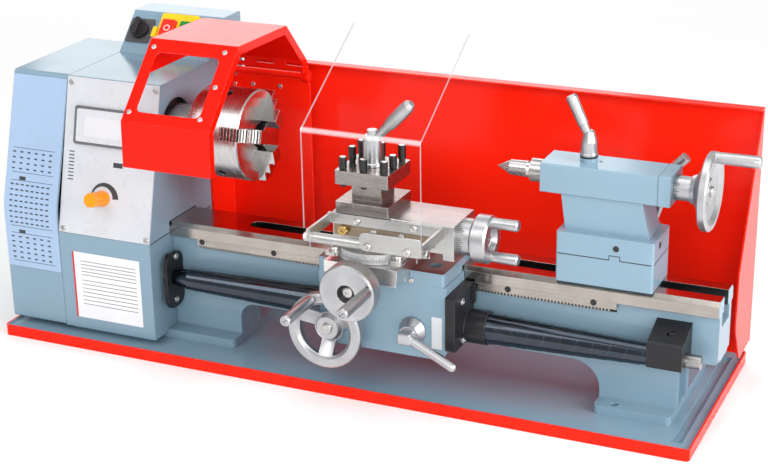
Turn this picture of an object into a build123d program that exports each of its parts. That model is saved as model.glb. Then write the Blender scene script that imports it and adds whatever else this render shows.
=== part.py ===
from build123d import *
import math
import os

os.makedirs("parts", exist_ok=True)

# Bench lathe, in millimetres: +X runs from the headstock to the tailstock, +Y to the splash guard, +Z up.
# The origin is the middle of the bench bolts, on the underside of the chip tray.

# Chip tray and bench bolts
TRAY_X, TRAY_Y = 435, 134
RIM_Z, FLOOR_Z, SHEET = 14, 11, 2
BOLT_X, BOLT_Y, BOLT_R = 335, 74, 4.5

# Main axes
SPIN_Y, SPIN_Z = -36, 268.5
LEAD_Y, LEAD_Z, LEAD_R = -80, 91, 8
MOTOR_Y, MOTOR_Z = 75, 205

# Bed
BED_X0, BED_X1, BED_Z = -350, 443, 155.5
WAY_Z, ARCH_Z, SOLE_Z = 138, 61.5, 21.5
RACK_X0, RACK_X1 = -191, 331

# Headstock
HEAD_X0, HEAD_SEAM, HEAD_X1 = -434, -356, -228
HEAD_Y0, HEAD_Y1, HEAD_Z, BASE_Z, HEAD_FOOT = -114, 132, 326, 142, 18.5
PANEL_T = 1.5

# Chuck and its guard
CHUCK_X, CHUCK_R = -117, 54
JAW_X, JAW_W, JAW_TURN = -97, 16, 74
GUARD_X0, GUARD_X1 = -226, -112
GUARD_Y, GUARD_Z = 92, 307

# Carriage
CAR_X0, CAR_X1, CAR_Y = 0, 152, -122
CROSS_X0, CROSS_X1, CROSS_Y, CROSS_Z = 25.5, 113, -159.8, 178.5
APRON_Z0, APRON_Z1, SADDLE_Z = 62, 149.7, 165.5
SCREW_X, SCREW_Z, SCREW_R = 69, 159, 4.5
WHEEL_X, WHEEL_Z = 17, 87
LEVER_X, LEVER_Z = 115, 94

# Gears: module, teeth
FEED_M, WHEEL_T, FEED_T = 1.0, 16, 54
RACK_M, PINION_T = 1.25, 18
TRAIN_M, SPIN_T, IDLER_T, LEAD_T = 1.5, 40, 88, 36

# Compound slide and toolpost
PIVOT_X, PIVOT_Y, PIVOT_R = 69, -110.5, 45.8
TOP_Y, TOP_Z = -110.5, 210
POST_X, POST_Y, POST_W = 65, -112.5, 63

# Tool shield
ROD_Y, ROD_Z, ROD_R = -192, 217.5, 5.8

# Tailstock
TAIL_X0, TAIL_X1, TAIL_Y0, TAIL_Y1 = 261, 370, -67, -4
QUILL_R = 13


def block(x0, x1, y0, y1, z0, z1):
    """Box given by its two opposite corners."""
    return Pos((x0 + x1) / 2, (y0 + y1) / 2, (z0 + z1) / 2) * Box(x1 - x0, y1 - y0, z1 - z0)


def rod_x(x0, x1, y, z, r):
    """Cylinder along X."""
    return Pos((x0 + x1) / 2, y, z) * Rot(0, 90, 0) * Cylinder(r, x1 - x0)


def rod_y(x, y0, y1, z, r):
    """Cylinder along Y."""
    return Pos(x, (y0 + y1) / 2, z) * Rot(90, 0, 0) * Cylinder(r, y1 - y0)


def rod_z(x, y, z0, z1, r):
    """Cylinder along Z."""
    return Pos(x, y, (z0 + z1) / 2) * Cylinder(r, z1 - z0)


def rod_between(start, end, r):
    """Cylinder from one point to another."""
    a, b = Vector(*start), Vector(*end)
    span = b - a
    return extrude(Plane(origin=a, z_dir=span) * Circle(r), amount=span.length, dir=span.normalized())


def outline(points, radii=None):
    """Closed polygon, with each corner rounded by its radius."""
    face = Polygon(*points, align=None)
    for point, radius in zip(points, radii or []):
        if radius:
            corner = face.vertices().sort_by_distance((point[0], point[1], 0))[0]
            face = fillet(corner, radius)
    return face


def prism_x(points, x0, x1, radii=None):
    """Outline in (y, z), drawn out along X."""
    return extrude(Plane.YZ.offset(x0) * outline(points, radii), amount=x1 - x0, dir=(1, 0, 0))


def prism_y(points, y0, y1, radii=None):
    """Outline in (x, z), drawn out along Y."""
    plane = Plane(origin=(0, y0, 0), x_dir=(1, 0, 0), z_dir=(0, -1, 0))
    return extrude(plane * outline(points, radii), amount=y1 - y0, dir=(0, 1, 0))


def prism_z(points, z0, z1, radii=None):
    """Outline in (x, y), drawn out along Z."""
    return extrude(Plane.XY.offset(z0) * outline(points, radii), amount=z1 - z0, dir=(0, 0, 1))


def turned(profile, plane):
    """Closed (along, radius) outline turned about the plane's X axis."""
    face = plane * Polygon(*profile, align=None)
    return revolve(face, Axis(plane.origin, plane.x_dir), 360)


def along_x(x, y, z):
    """Turning plane whose axis points along +X."""
    return Plane(origin=(x, y, z), x_dir=(1, 0, 0), z_dir=(0, -1, 0))


def along_y(x, y, z):
    """Turning plane whose axis points along -Y, towards the operator."""
    return Plane(origin=(x, y, z), x_dir=(0, -1, 0), z_dir=(1, 0, 0))


def along_z(x, y, z):
    """Turning plane whose axis points along +Z."""
    return Plane(origin=(x, y, z), x_dir=(0, 0, 1), z_dir=(0, 1, 0))


def along(start, end):
    """Turning plane whose axis runs from one point to another at the same depth."""
    return Plane(origin=start, x_dir=Vector(*end) - Vector(*start), z_dir=(0, 1, 0))


def folded(points, thick):
    """Bent sheet: an open line of points, thickened to its right-hand side with mitred bends."""
    inner = []
    for i, (u, v) in enumerate(points):
        before = points[i - 1] if i else None
        after = points[i + 1] if i + 1 < len(points) else None
        normals = []
        for p, q in ((before, (u, v)), ((u, v), after)):
            if p and q:
                length = math.dist(p, q)
                normals.append(((q[1] - p[1]) / length, (p[0] - q[0]) / length))
        nu = sum(n[0] for n in normals) / len(normals)
        nv = sum(n[1] for n in normals) / len(normals)
        scale = thick / (nu * nu + nv * nv)
        inner.append((u + nu * scale, v + nv * scale))
    return list(points) + inner[::-1]


def gear(teeth, module, phase, slack=0.12):
    """Spur gear outline: three chords along each 20 degree involute flank, a tooth at the phase angle."""
    pitch = teeth * module / 2
    base, root, tip = pitch * math.cos(math.radians(20)), pitch - 1.25 * module, pitch + module
    roll = math.tan(math.radians(20)) - math.radians(20)
    half = (math.pi * module / 2 - slack) / (2 * pitch) + roll
    flank = []
    for r in (root, max(root + 0.05, base), pitch, (pitch + tip) / 2, tip):
        tilt = math.acos(min(1, base / r))
        flank.append((r, half - math.tan(tilt) + tilt))
    points = []
    for i in range(teeth):
        middle = math.radians(phase) + 2 * math.pi * i / teeth
        for r, turn in flank:
            points.append((r * math.cos(middle - turn), r * math.sin(middle - turn)))
        for r, turn in flank[::-1]:
            points.append((r * math.cos(middle + turn), r * math.sin(middle + turn)))
    return Polygon(*points, align=None)


def gear_x(teeth, module, phase, x0, x1, y, z):
    """Gear on an axis along X; the phase is measured from +Y towards +Z."""
    face = Plane.YZ.offset(x0) * gear(teeth, module, phase)
    return Pos(0, y, z) * extrude(face, amount=x1 - x0, dir=(1, 0, 0))


def gear_y(teeth, module, phase, x, y0, y1, z):
    """Gear on an axis along Y; the phase is measured from +X towards +Z."""
    plane = Plane(origin=(x, y0, z), x_dir=(1, 0, 0), z_dir=(0, -1, 0))
    return extrude(plane * gear(teeth, module, phase), amount=y1 - y0, dir=(0, 1, 0))


def save(name, solid):
    """Write one piece under its node name."""
    solid.label = name
    export_step(solid, "parts/" + name + ".step")


# Chip tray: folded pan on four bolt pads, with a pressed gutter along its right edge.
chip_tray = block(-TRAY_X, TRAY_X, -TRAY_Y, TRAY_Y, 0, RIM_Z)
chip_tray = fillet(chip_tray.edges().filter_by(Axis.Z), 5)
inside_x, inside_y = TRAY_X - SHEET, TRAY_Y - SHEET
chip_tray -= block(-inside_x, inside_x, -inside_y, inside_y, FLOOR_Z, RIM_Z + 1)
chip_tray -= block(-inside_x, inside_x, -inside_y, inside_y, -1, FLOOR_Z - SHEET)
chip_tray += block(408.5, 424, -118, 118, FLOOR_Z - 6, FLOOR_Z - 1)
chip_tray -= block(410.5, 422, -116, 116, FLOOR_Z - 4, FLOOR_Z + 1)
for x in (-BOLT_X, BOLT_X):
    for y in (-BOLT_Y, BOLT_Y):
        chip_tray += rod_z(x, y, 0, FLOOR_Z - SHEET + 0.5, 18)
        chip_tray -= rod_z(x, y, -1, FLOOR_Z + 1, BOLT_R)
save("chip_tray", chip_tray)

# Splash guard: tall sheet inside the rear rim, hemmed at the top, with a tapering flange at its right end.
splash_guard = block(-224, 432, 130, 132, FLOOR_Z, 316) + block(431, 438, 130, 132, 29, 316)
splash_guard += block(-224, 438, 118, 131, 314, 316)
flange = [(131, 316), (124, 306), (50.6, 142), (48, 77), (75.5, 29), (131, 31)]
splash_guard += prism_x(flange, 436, 438, [0, 6, 12, 12, 10, 0])
save("splash_guard", splash_guard)

# Panel behind the chuck: flanged to the headstock, it carries the rod that the chuck guard swings on.
guard_back = block(GUARD_X0, GUARD_X1, 91, 93, 100, 299) + block(-214, -124, 91, 93, 298, 305)
guard_back += rod_x(GUARD_X0, GUARD_X1, GUARD_Y, GUARD_Z, 4)
guard_back += block(HEAD_X1, GUARD_X0 + 1, 36, 93, 100, 296)
save("guard_back_panel", guard_back)

# Bed: two ground ways on webbed walls, with an arch between two flanged feet.
side = [
    (BED_X0, FLOOR_Z), (-138.5, FLOOR_Z), (-138.5, ARCH_Z), (313, ARCH_Z), (313, FLOOR_Z),
    (400.5, FLOOR_Z), (400.5, 81), (BED_X1, 81), (BED_X1, WAY_Z + 1), (BED_X0, WAY_Z + 1),
]
arch = [0, 0, 20, 32, 0, 0, 12, 4, 0, 0]
front_way = [(-66, WAY_Z), (-66, 150.5), (-61, BED_Z), (-44, BED_Z), (-44, WAY_Z)]
rear_way = [(-24, WAY_Z), (-24, BED_Z), (-8, BED_Z), (-3, 150.5), (-3, WAY_Z)]
bed = prism_y(side, -60, -50, arch) + prism_y(side, -18, -8, arch)
bed += prism_x(front_way, BED_X0, BED_X1)
bed += prism_x(rear_way, BED_X0, BED_X1)
bed += block(BED_X0, -123, -44.5, -23.5, 146, BED_Z) - rod_z(-123, -34, 140, 160, 10)
for x, low in ((-348, 11), (-147, 11), (-20, 64), (130, 64), (321, 11), (385, 11), (435, 81)):
    bed += block(x, x + 8, -51, -17, low, 122)
for x0, x1 in ((BED_X0, -137), (313, 400.5)):
    bed += fillet(block(x0, x1, -84, 82, FLOOR_Z, SOLE_Z).edges().filter_by(Axis.Z), 6)
for x in (-BOLT_X, BOLT_X):
    for y in (-BOLT_Y, BOLT_Y):
        bed -= rod_z(x, y, 0, 40, BOLT_R)
save("bed", bed)

# Feed rack under the front way: a gap between teeth stands over the rack pinion.
feed_distance = FEED_M * (WHEEL_T + FEED_T) / 2
pinion_r = RACK_M * PINION_T / 2
pitch_z, root_z = 129, 130.56
PINION_Z = pitch_z - pinion_r
PINION_X = WHEEL_X + math.sqrt(feed_distance**2 - (PINION_Z - WHEEL_Z)**2)
pitch = math.pi * RACK_M
first = math.ceil((RACK_X0 + 4 - PINION_X) / pitch)
last = math.floor((RACK_X1 - 4 - PINION_X) / pitch)
teeth = [(RACK_X0, WAY_Z), (RACK_X0, root_z)]
for i in range(first, last):
    middle = PINION_X + (i + 0.5) * pitch
    for offset, z in ((-1.5, root_z), (-0.45, pitch_z - 1.25), (0.45, pitch_z - 1.25), (1.5, root_z)):
        teeth.append((middle + offset, z))
teeth += [(RACK_X1, root_z), (RACK_X1, WAY_Z)]
feed_rack = prism_y(teeth, -66, -60)
save("feed_rack", feed_rack)

# Headstock base: sheet-metal box round the bed's left foot, on two flanged sills set back from its walls.
head_base = block(HEAD_SEAM, HEAD_X1, HEAD_Y0, HEAD_Y1, HEAD_FOOT, BASE_Z)
head_base -= block(HEAD_SEAM - 1, HEAD_X1 - 2, HEAD_Y0 + 2, HEAD_Y1 - 2, 15, BASE_Z + 1)
for y0, y1, sill in ((HEAD_Y0 + 1, -95, -101), (110, HEAD_Y1 - 1, 110)):
    head_base += block(HEAD_SEAM + 2, HEAD_X1 - 1, y0, y1, HEAD_FOOT, HEAD_FOOT + 1.4)
    head_base += block(HEAD_SEAM + 2, HEAD_X1 - 14, sill, sill + 6, FLOOR_Z, HEAD_FOOT + 1)
head_base -= block(HEAD_X1 - 3, HEAD_X1 + 1, -84.5, 82.5, 15, SOLE_Z + 0.5)
head_base -= block(HEAD_X1 - 3, HEAD_X1 + 1, -60.5, -7.5, SOLE_Z, BASE_Z + 1)
head_base -= block(HEAD_X1 - 3, HEAD_X1 + 1, -66.5, -2.5, WAY_Z - 0.5, BASE_Z + 1)
head_base += block(BED_X0 - 2, BED_X0, HEAD_Y0 + 1, HEAD_Y1 - 1, 20, BASE_Z)
head_base -= rod_x(BED_X0 - 3, HEAD_X1 + 1, LEAD_Y, LEAD_Z, 9)
save("headstock_base", head_base)

# Sloping front of the headstock: local x is X, local y climbs the slope and local z points out of it.
rise = math.hypot(47, 186)
panel = Plane(origin=(0, HEAD_Y0, BASE_Z), x_dir=(1, 0, 0), z_dir=(0, -186 / rise, 47 / rise))
panel_top = (HEAD_Z - BASE_Z) * rise / 186
display_x, display_s, display_w, display_h = -292, 132.6, 98, 46
knob_x, knob_s = -296, 47.7

# Headstock cover: sheet-metal hood over the spindle, open beneath and towards the gear cover.
hood_y0, hood_y1 = HEAD_Y0 + 1.55, HEAD_Y0 + 1.55 + (HEAD_Z - BASE_Z) * 47 / 186
hood = [(hood_y0, BASE_Z), (hood_y1, HEAD_Z), (HEAD_Y1, HEAD_Z), (HEAD_Y1, BASE_Z)]
hollow = [
    (hood_y0 + 1.8, BASE_Z - 1), (hood_y1 + 1.6, HEAD_Z - 2),
    (HEAD_Y1 - 2, HEAD_Z - 2), (HEAD_Y1 - 2, BASE_Z - 1),
]
head_cover = prism_x(hood, HEAD_SEAM, HEAD_X1) - prism_x(hollow, HEAD_SEAM - 1, HEAD_X1 - 2)
head_cover -= block(HEAD_X1 - 3, HEAD_X1 + 1, -66.5, -2.5, BASE_Z - 1, BED_Z + 0.5)
head_cover -= rod_x(HEAD_X1 - 3, HEAD_X1 + 1, SPIN_Y, SPIN_Z, 34)
window = Pos(display_x, display_s, -4) * Box(display_w - 8, display_h - 8, 12)
shaft_hole = Pos(knob_x, knob_s, -4) * Cylinder(3.05, 12)
head_cover -= panel * window
head_cover -= panel * shaft_hole
save("headstock_cover", head_cover)

# Control panel: thin plate over the whole sloping front.
plate_w = HEAD_X1 - HEAD_SEAM - 1
plate = Pos((HEAD_X1 + HEAD_SEAM) / 2, panel_top / 2, -PANEL_T / 2) * Box(plate_w, panel_top - 1, PANEL_T)
control_panel = panel * plate - panel * window - panel * shaft_hole
save("control_panel", control_panel)

# Speed display: framed unit seated through the panel.
unit = Pos(display_x, display_s, 1.5) * fillet(Box(display_w, display_h, 3).edges().filter_by(Axis.Z), 3)
unit += Pos(display_x, display_s, -3) * Box(display_w - 9, display_h - 9, 6)
save("display_unit", panel * unit)

# Speed knob: fluted cap on a short shaft through the panel.
knob = Pos(knob_x, knob_s, 14.4) * Cylinder(8.8, 28) + Pos(knob_x, knob_s, 2) * Cylinder(9.6, 3.2)
for i in range(8):
    turn = math.radians(45 * i)
    knob -= Pos(knob_x + 10.6 * math.cos(turn), knob_s + 10.6 * math.sin(turn), 16.4) * Cylinder(2.6, 25)
knob += Pos(knob_x, knob_s, -4) * Cylinder(3, 10)
save("speed_knob", panel * knob)

# Gear cover: deep cap over the change gears, with a hole for long bars in its end.
cap = [(HEAD_Y0, HEAD_FOOT), (HEAD_Y0, 166), (-66, HEAD_Z), (99, HEAD_Z), (99, HEAD_FOOT)]
cap_in = [(HEAD_Y0 + 2, 20.5), (HEAD_Y0 + 2, 166), (-64.4, HEAD_Z - 2), (97, HEAD_Z - 2), (97, 20.5)]
gear_cover = prism_x(cap, HEAD_X0, HEAD_SEAM - 0.4, [3, 90, 5, 5, 3])
gear_cover -= prism_x(cap_in, HEAD_X0 + 2, HEAD_SEAM + 1, [1, 88, 3, 3, 1])
gear_cover -= rod_x(HEAD_X0 - 1, HEAD_X0 + 3, SPIN_Y, SPIN_Z, 13)
save("gear_cover", gear_cover)

# Switch box on the headstock: its sloping front faces the operator.
slope = math.hypot(43, 45)
switch = Plane(origin=(0, 47, HEAD_Z), x_dir=(1, 0, 0), z_dir=(0, -45 / slope, 43 / slope))
box_out = [(47, HEAD_Z), (90, HEAD_Z + 45), (HEAD_Y1, HEAD_Z + 45), (HEAD_Y1, HEAD_Z)]
box_in = [(51, HEAD_Z - 1), (92, HEAD_Z + 43), (HEAD_Y1 - 2, HEAD_Z + 43), (HEAD_Y1 - 2, HEAD_Z - 1)]
switch_box = prism_x(box_out, HEAD_SEAM, HEAD_X1, [0, 3, 3, 0])
switch_box -= prism_x(box_in, HEAD_SEAM + 2, HEAD_X1 - 2)
selector_x, selector_s, stop_x, start_x, button_s = -337, 33, -296, -271, 36
switch_box -= switch * (Pos(selector_x, selector_s, -4) * Cylinder(3.05, 16))
for x in (stop_x, start_x):
    switch_box -= switch * (Pos(x, button_s, -4) * Box(19, 25, 16))
save("switch_box", switch_box)

# Switch housing: raised plate round the two push buttons, with a hook boss at its left.
housing = Pos(-284.5, button_s, 2.5) * fillet(Box(53, 46, 5).edges().filter_by(Axis.Z), 3)
housing += Pos(-313, button_s - 6, 4) * Box(6, 14, 8)
for x in (stop_x, start_x):
    housing -= Pos(x, button_s, 0) * Box(19, 25, 16)
save("switch_plate", switch * housing)

# Push buttons and selector knob of the switch box.
button = fillet(Box(18.4, 24.4, 14).edges().filter_by(Axis.Z), 2)
save("stop_button", switch * (Pos(stop_x, button_s, 2.5) * button))
save("start_button", switch * (Pos(start_x, button_s, 1) * button))
selector = Pos(0, 0, 4.4) * Cylinder(12, 5) + Pos(0, 0, -3) * Cylinder(3, 12)
selector += Pos(0, 0, 11) * fillet(Box(7, 23, 10).edges().filter_by(Axis.Z), 2.5)
save("selector_knob", switch * (Pos(selector_x, selector_s, 0) * selector))

# Change gear train: the idler's centre lies where both pairs mesh, bowed to the rear.
spin_lead = math.dist((SPIN_Y, SPIN_Z), (LEAD_Y, LEAD_Z))
spin_idler = TRAIN_M * (SPIN_T + IDLER_T) / 2
idler_lead = TRAIN_M * (IDLER_T + LEAD_T) / 2
foot = (spin_idler**2 - idler_lead**2 + spin_lead**2) / (2 * spin_lead)
bow = math.sqrt(spin_idler**2 - foot**2)
uy, uz = (LEAD_Y - SPIN_Y) / spin_lead, (LEAD_Z - SPIN_Z) / spin_lead
IDLER_Y = SPIN_Y + uy * foot - uz * bow
IDLER_Z = SPIN_Z + uz * foot + uy * bow

# Headstock casting: two bearing pedestals on a sole plate, and the end plate with the idler stud.
casting = block(-346, -240, -66, -3, BED_Z, 166)
for x0, x1 in ((-346, -322), (-262, -238)):
    casting += block(x0, x1, -64, -8, 165, 290) + rod_x(x0, x1, SPIN_Y, SPIN_Z, 34)
casting += block(-354, -345, -60, -10, 170, 232)
end_plate = [(-110, 20), (-107, 150), (-61, 322), (129, 322), (129, 20)]
casting += prism_x(end_plate, HEAD_SEAM, HEAD_SEAM + 4)
casting += rod_x(-424, -352, IDLER_Y, IDLER_Z, 8) + rod_x(-405, -352, IDLER_Y, IDLER_Z, 14)
casting -= rod_x(-350, -230, SPIN_Y, SPIN_Z, 20.05)
casting -= rod_x(HEAD_SEAM - 1, -350, SPIN_Y, SPIN_Z, 22)
casting -= rod_x(HEAD_SEAM - 1, HEAD_SEAM + 5, LEAD_Y, LEAD_Z, 9)
casting -= rod_x(HEAD_SEAM - 1, HEAD_SEAM + 5, MOTOR_Y, MOTOR_Z, 12)
save("headstock_casting", casting)

# Motor inside the headstock, with its shaft and pulley.
motor = rod_x(HEAD_SEAM + 4, -250, MOTOR_Y, MOTOR_Z, 44) + rod_x(-251, -244, MOTOR_Y, MOTOR_Z, 36)
motor -= rod_x(HEAD_SEAM + 3, -328, MOTOR_Y, MOTOR_Z, 6.05)
save("drive_motor", motor)
small_r, large_r, belt_t = 17, 34, 4
motor_pulley = rod_x(-396, -372, MOTOR_Y, MOTOR_Z, small_r) + rod_x(-373, -330, MOTOR_Y, MOTOR_Z, 6)
save("motor_pulley", motor_pulley)

# Drive belt: the gap between two loops, each two circles joined by their outer tangents.
centre_a, centre_b = (SPIN_Y, SPIN_Z), (MOTOR_Y, MOTOR_Z)
reach = math.dist(centre_a, centre_b)
heading = math.atan2(MOTOR_Z - SPIN_Z, MOTOR_Y - SPIN_Y)
spread = math.acos((large_r - small_r) / reach)
wraps = [(centre_a, large_r, 1), (centre_b, small_r, 1), (centre_b, small_r, -1), (centre_a, large_r, -1)]
loops = []
for grow in (0.3 + belt_t, 0.3):
    corners = []
    for (cy, cz), r, sign in wraps:
        angle = heading + sign * spread
        corners.append((cy + (r + grow) * math.cos(angle), cz + (r + grow) * math.sin(angle)))
    loop = prism_x(corners, -394, -374)
    loop += rod_x(-394, -374, *centre_a, large_r + grow) + rod_x(-394, -374, *centre_b, small_r + grow)
    loops.append(loop)
save("drive_belt", loops[0] - loops[1])

# Spindle with the nose that the chuck seats on, bored through.
NOSE_X, NOSE_R = -178, 27
spindle = rod_x(-430, -347, SPIN_Y, SPIN_Z, 15) + rod_x(-348, HEAD_X1, SPIN_Y, SPIN_Z, 20)
spindle += rod_x(HEAD_X1, NOSE_X, SPIN_Y, SPIN_Z, NOSE_R)
spindle -= rod_x(-431, NOSE_X + 1, SPIN_Y, SPIN_Z, 10)
save("spindle", spindle)

# Spindle pulley, in one piece with the first change gear.
to_idler = math.degrees(math.atan2(IDLER_Z - SPIN_Z, IDLER_Y - SPIN_Y))
to_lead = math.degrees(math.atan2(LEAD_Z - IDLER_Z, LEAD_Y - IDLER_Y))
pulley = rod_x(-396, -372, SPIN_Y, SPIN_Z, large_r) + rod_x(-407, -395, SPIN_Y, SPIN_Z, 22)
pulley += gear_x(SPIN_T, TRAIN_M, to_idler, -420, -406, SPIN_Y, SPIN_Z)
pulley -= rod_x(-421, -371, SPIN_Y, SPIN_Z, 15.03)
save("spindle_pulley", pulley)

# Idler gear on the stud: a gap faces the spindle gear, and the other side meets the leadscrew gear.
idler_phase = to_idler + 180 + 180 / IDLER_T
idler = gear_x(IDLER_T, TRAIN_M, idler_phase, -419, -407, IDLER_Y, IDLER_Z)
for i in range(5):
    turn = math.radians(72 * i)
    idler -= rod_x(-420, -406, IDLER_Y + 38 * math.cos(turn), IDLER_Z + 38 * math.sin(turn), 15)
idler -= rod_x(-420, -406, IDLER_Y, IDLER_Z, 8.05)
save("idler_gear", idler)

# Leadscrew with its gear: the tooth nearest the idler falls in one of the idler's gaps.
step = 360 / IDLER_T
behind = (to_lead - idler_phase) / step
gap_offset = (behind - math.floor(behind) - 0.5) * step
lead_phase = to_lead + 180 + gap_offset * IDLER_T / LEAD_T
leadscrew = rod_x(-424, 430, LEAD_Y, LEAD_Z, LEAD_R)
leadscrew += gear_x(LEAD_T, TRAIN_M, lead_phase, -418, -406, LEAD_Y, LEAD_Z)
save("leadscrew", leadscrew)

# Chuck: body and back plate with three radial slots, and three stepped jaws.
chuck = rod_x(-158, CHUCK_X, SPIN_Y, SPIN_Z, CHUCK_R) + rod_x(-172, -157, SPIN_Y, SPIN_Z, CHUCK_R - 3)
chuck = chamfer(chuck.edges().filter_by(GeomType.CIRCLE).group_by(Axis.X)[-1], 1.5)
chuck += rod_x(-186, -171, SPIN_Y, SPIN_Z, 50)
chuck -= rod_x(-187, CHUCK_X + 1, SPIN_Y, SPIN_Z, 14)
chuck -= rod_x(-187, NOSE_X, SPIN_Y, SPIN_Z, NOSE_R + 0.03)
jaw = block(-138.8, -112.5, -JAW_W / 2, JAW_W / 2, 16, 57)
jaw += block(-113, -105, -JAW_W / 2, JAW_W / 2, 16, 45) + block(-106, JAW_X, -JAW_W / 2, JAW_W / 2, 16, 32)
for i in range(3):
    turn = Pos(0, SPIN_Y, SPIN_Z) * Rot(JAW_TURN + 120 * i, 0, 0)
    chuck -= turn * block(-139, CHUCK_X + 1, -JAW_W / 2 - 0.1, JAW_W / 2 + 0.1, 4.8, 60)
    chuck -= Pos(0, SPIN_Y, SPIN_Z) * Rot(JAW_TURN - 60 + 120 * i, 0, 0) * rod_z(-146, 0, 36, 60, 5)
    save("chuck_jaw_" + str(i + 1), turn * jaw)
save("chuck_body", chuck)

# Leadscrew end bearings: a rounded plate on two posts at the headstock and a bracket on the bed's right end.
flange = [(-98, 52), (-98, 122), (-60.2, 122), (-60.2, 52)]
lead_flange = prism_x(flange, -220, -216, [14, 14, 14, 14])
for z in (62, 113):
    lead_flange += rod_x(HEAD_X1, -219, -77, z, 5)
lead_flange -= rod_x(-229, -215, LEAD_Y, LEAD_Z, LEAD_R + 0.05)
save("leadscrew_flange", lead_flange)
bracket = [(-100, 84), (-100, 114), (-60, 127), (-60, 84)]
lead_bracket = prism_x(bracket, 375, 414, [4, 5, 0, 0]) - rod_x(374, 415, LEAD_Y, LEAD_Z, LEAD_R + 0.05)
lead_bracket -= rod_z(394, -82, 112, 130, 2.5)
save("leadscrew_bracket", lead_bracket)

# Spiral leadscrew covers: wound strip that steps outwards turn by turn to the apron, round a clear bore.
bore, turns = 8.8, 11
left = [(-216, bore), (-216, 9.5), (-194, 13)]
for i in range(turns):
    r = 13.6 + 0.4 * i
    left += [(-194 + 193.6 * i / turns, r), (-194 + 193.6 * (i + 1) / turns, r + 0.15)]
left += [(-0.4, bore)]
save("leadscrew_cover_left", turned(left, along_x(0, LEAD_Y, LEAD_Z)))
right = [(375, bore), (375, 12.4)]
for i in range(turns):
    r = 12.7 + 0.5 * i
    right += [(375 - 203 * i / turns, r), (375 - 203 * (i + 1) / turns, r + 0.15)]
right += [(172, bore)]
save("leadscrew_cover_right", turned(right, along_x(0, LEAD_Y, LEAD_Z)))

# Saddle: rides the ways, with a keeper under the rear way and a bearing plate for the cross screw.
saddle = block(CAR_X0, CAR_X1, CAR_Y, -67, APRON_Z1, SADDLE_Z)
saddle += block(CAR_X0, CAR_X1, -68, 8, BED_Z + 0.1, SADDLE_Z)
saddle = fillet(saddle.edges().filter_by(Axis.Z).group_by(Axis.Y)[0], 3)
saddle -= block(CROSS_X0 + 1.2, CROSS_X1 - 1.2, CAR_Y - 1, 9, 158.4, 168)
saddle += block(CAR_X0, CAR_X1, -2.4, 8, 130, 157) + block(CAR_X0, CAR_X1, -7.4, -2, 130, 137.6)
saddle -= block(61, 77, CAR_Y - 1, -67, APRON_Z1 - 1, 159)
saddle += block(52, 86, -134, -128.6, APRON_Z1, SADDLE_Z) + block(52, 86, -129, CAR_Y + 1, APRON_Z1, 153.8)
saddle -= rod_y(SCREW_X, -135, -128, SCREW_Z, SCREW_R + 0.05)
saddle -= rod_z(133, -98.5, 159, SADDLE_Z + 1, 7)
save("saddle", saddle)

# Apron: hollow box that hangs from the saddle in front of the bed.
apron_face = [(CAR_X0, APRON_Z0), (140, APRON_Z0), (154.5, 68), (154.5, APRON_Z1), (CAR_X0, APRON_Z1)]
apron = prism_y(apron_face, CAR_Y, -67, [6, 8, 6, 0, 0])
apron -= block(5, 146, -114, -66, 70, 151)
apron -= rod_y(WHEEL_X, -123, -113, WHEEL_Z, 6.05)
apron -= rod_y(LEVER_X, -123, -113, LEVER_Z, 6.05)
apron -= rod_y(PINION_X, -120, -113, PINION_Z, 5.05)
apron -= rod_x(-1, 156, LEAD_Y, LEAD_Z, 11)
save("apron", apron)

# Right-hand apron flange, with the cup that the spiral cover runs into.
apron_flange = fillet(block(154.5, 166, -125, -68, 75, 140).edges().filter_by(Axis.X), 3)
apron_flange += rod_x(165, 190, LEAD_Y, LEAD_Z, 19.3) - rod_x(168, 191, LEAD_Y, LEAD_Z, 18.2)
apron_flange -= rod_x(154, 170, LEAD_Y, LEAD_Z, 9.5)
save("apron_flange", apron_flange)

# Apron handwheel: dished wheel with three spokes, on a shaft whose gear drives the rack pinion.
mesh = math.degrees(math.atan2(PINION_Z - WHEEL_Z, PINION_X - WHEEL_X))
grip_x, grip_z = WHEEL_X - 14.5, WHEEL_Z + 36
rim = [
    (0, 0), (0, 10), (8, 11), (9, 16), (18, 32), (14, 34), (14, 44), (17, 45), (26, 45), (28, 43),
    (28, 34.5), (25, 32), (13, 17), (18, 13), (18, 0),
]
apron_wheel = turned(rim, along_y(WHEEL_X, CAR_Y - 0.1, WHEEL_Z))
windows = rod_y(WHEEL_X, -155, -124, WHEEL_Z, 31.2) - rod_y(WHEEL_X, -156, -123, WHEEL_Z, 17.5)
for turn in (60, 180, 300):
    windows -= Pos(WHEEL_X, 0, WHEEL_Z) * Rot(0, turn, 0) * block(-8.5, 8.5, -156, -123, 0, 40)
apron_wheel -= windows
apron_wheel += rod_y(WHEEL_X, -130, -98, WHEEL_Z, 6)
apron_wheel += gear_y(WHEEL_T, FEED_M, mesh, WHEEL_X, -107, -98, WHEEL_Z)
apron_wheel += rod_y(grip_x, -211, -146, grip_z, 3)
save("apron_handwheel", apron_wheel)

# Turned grip that spins freely on its stud.
grip = [
    (0, 3.05), (0, 5.6), (4, 6.2), (58, 6.6), (61.5, 6.3), (63, 5.2), (63, 0), (60.5, 0), (60.5, 3.05),
]
save("apron_grip", turned(grip, along_y(grip_x, -150.6, grip_z)))

# Rack pinion: shaft with the large gear inside the apron and the pinion under the rack.
pinion = rod_y(PINION_X, -119.8, -60.6, PINION_Z, 5)
pinion += gear_y(FEED_T, FEED_M, mesh + 180 + 180 / FEED_T, PINION_X, -106, -99, PINION_Z)
pinion += gear_y(PINION_T, RACK_M, 90, PINION_X, -65.8, -60.6, PINION_Z)
save("rack_pinion", pinion)

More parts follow.
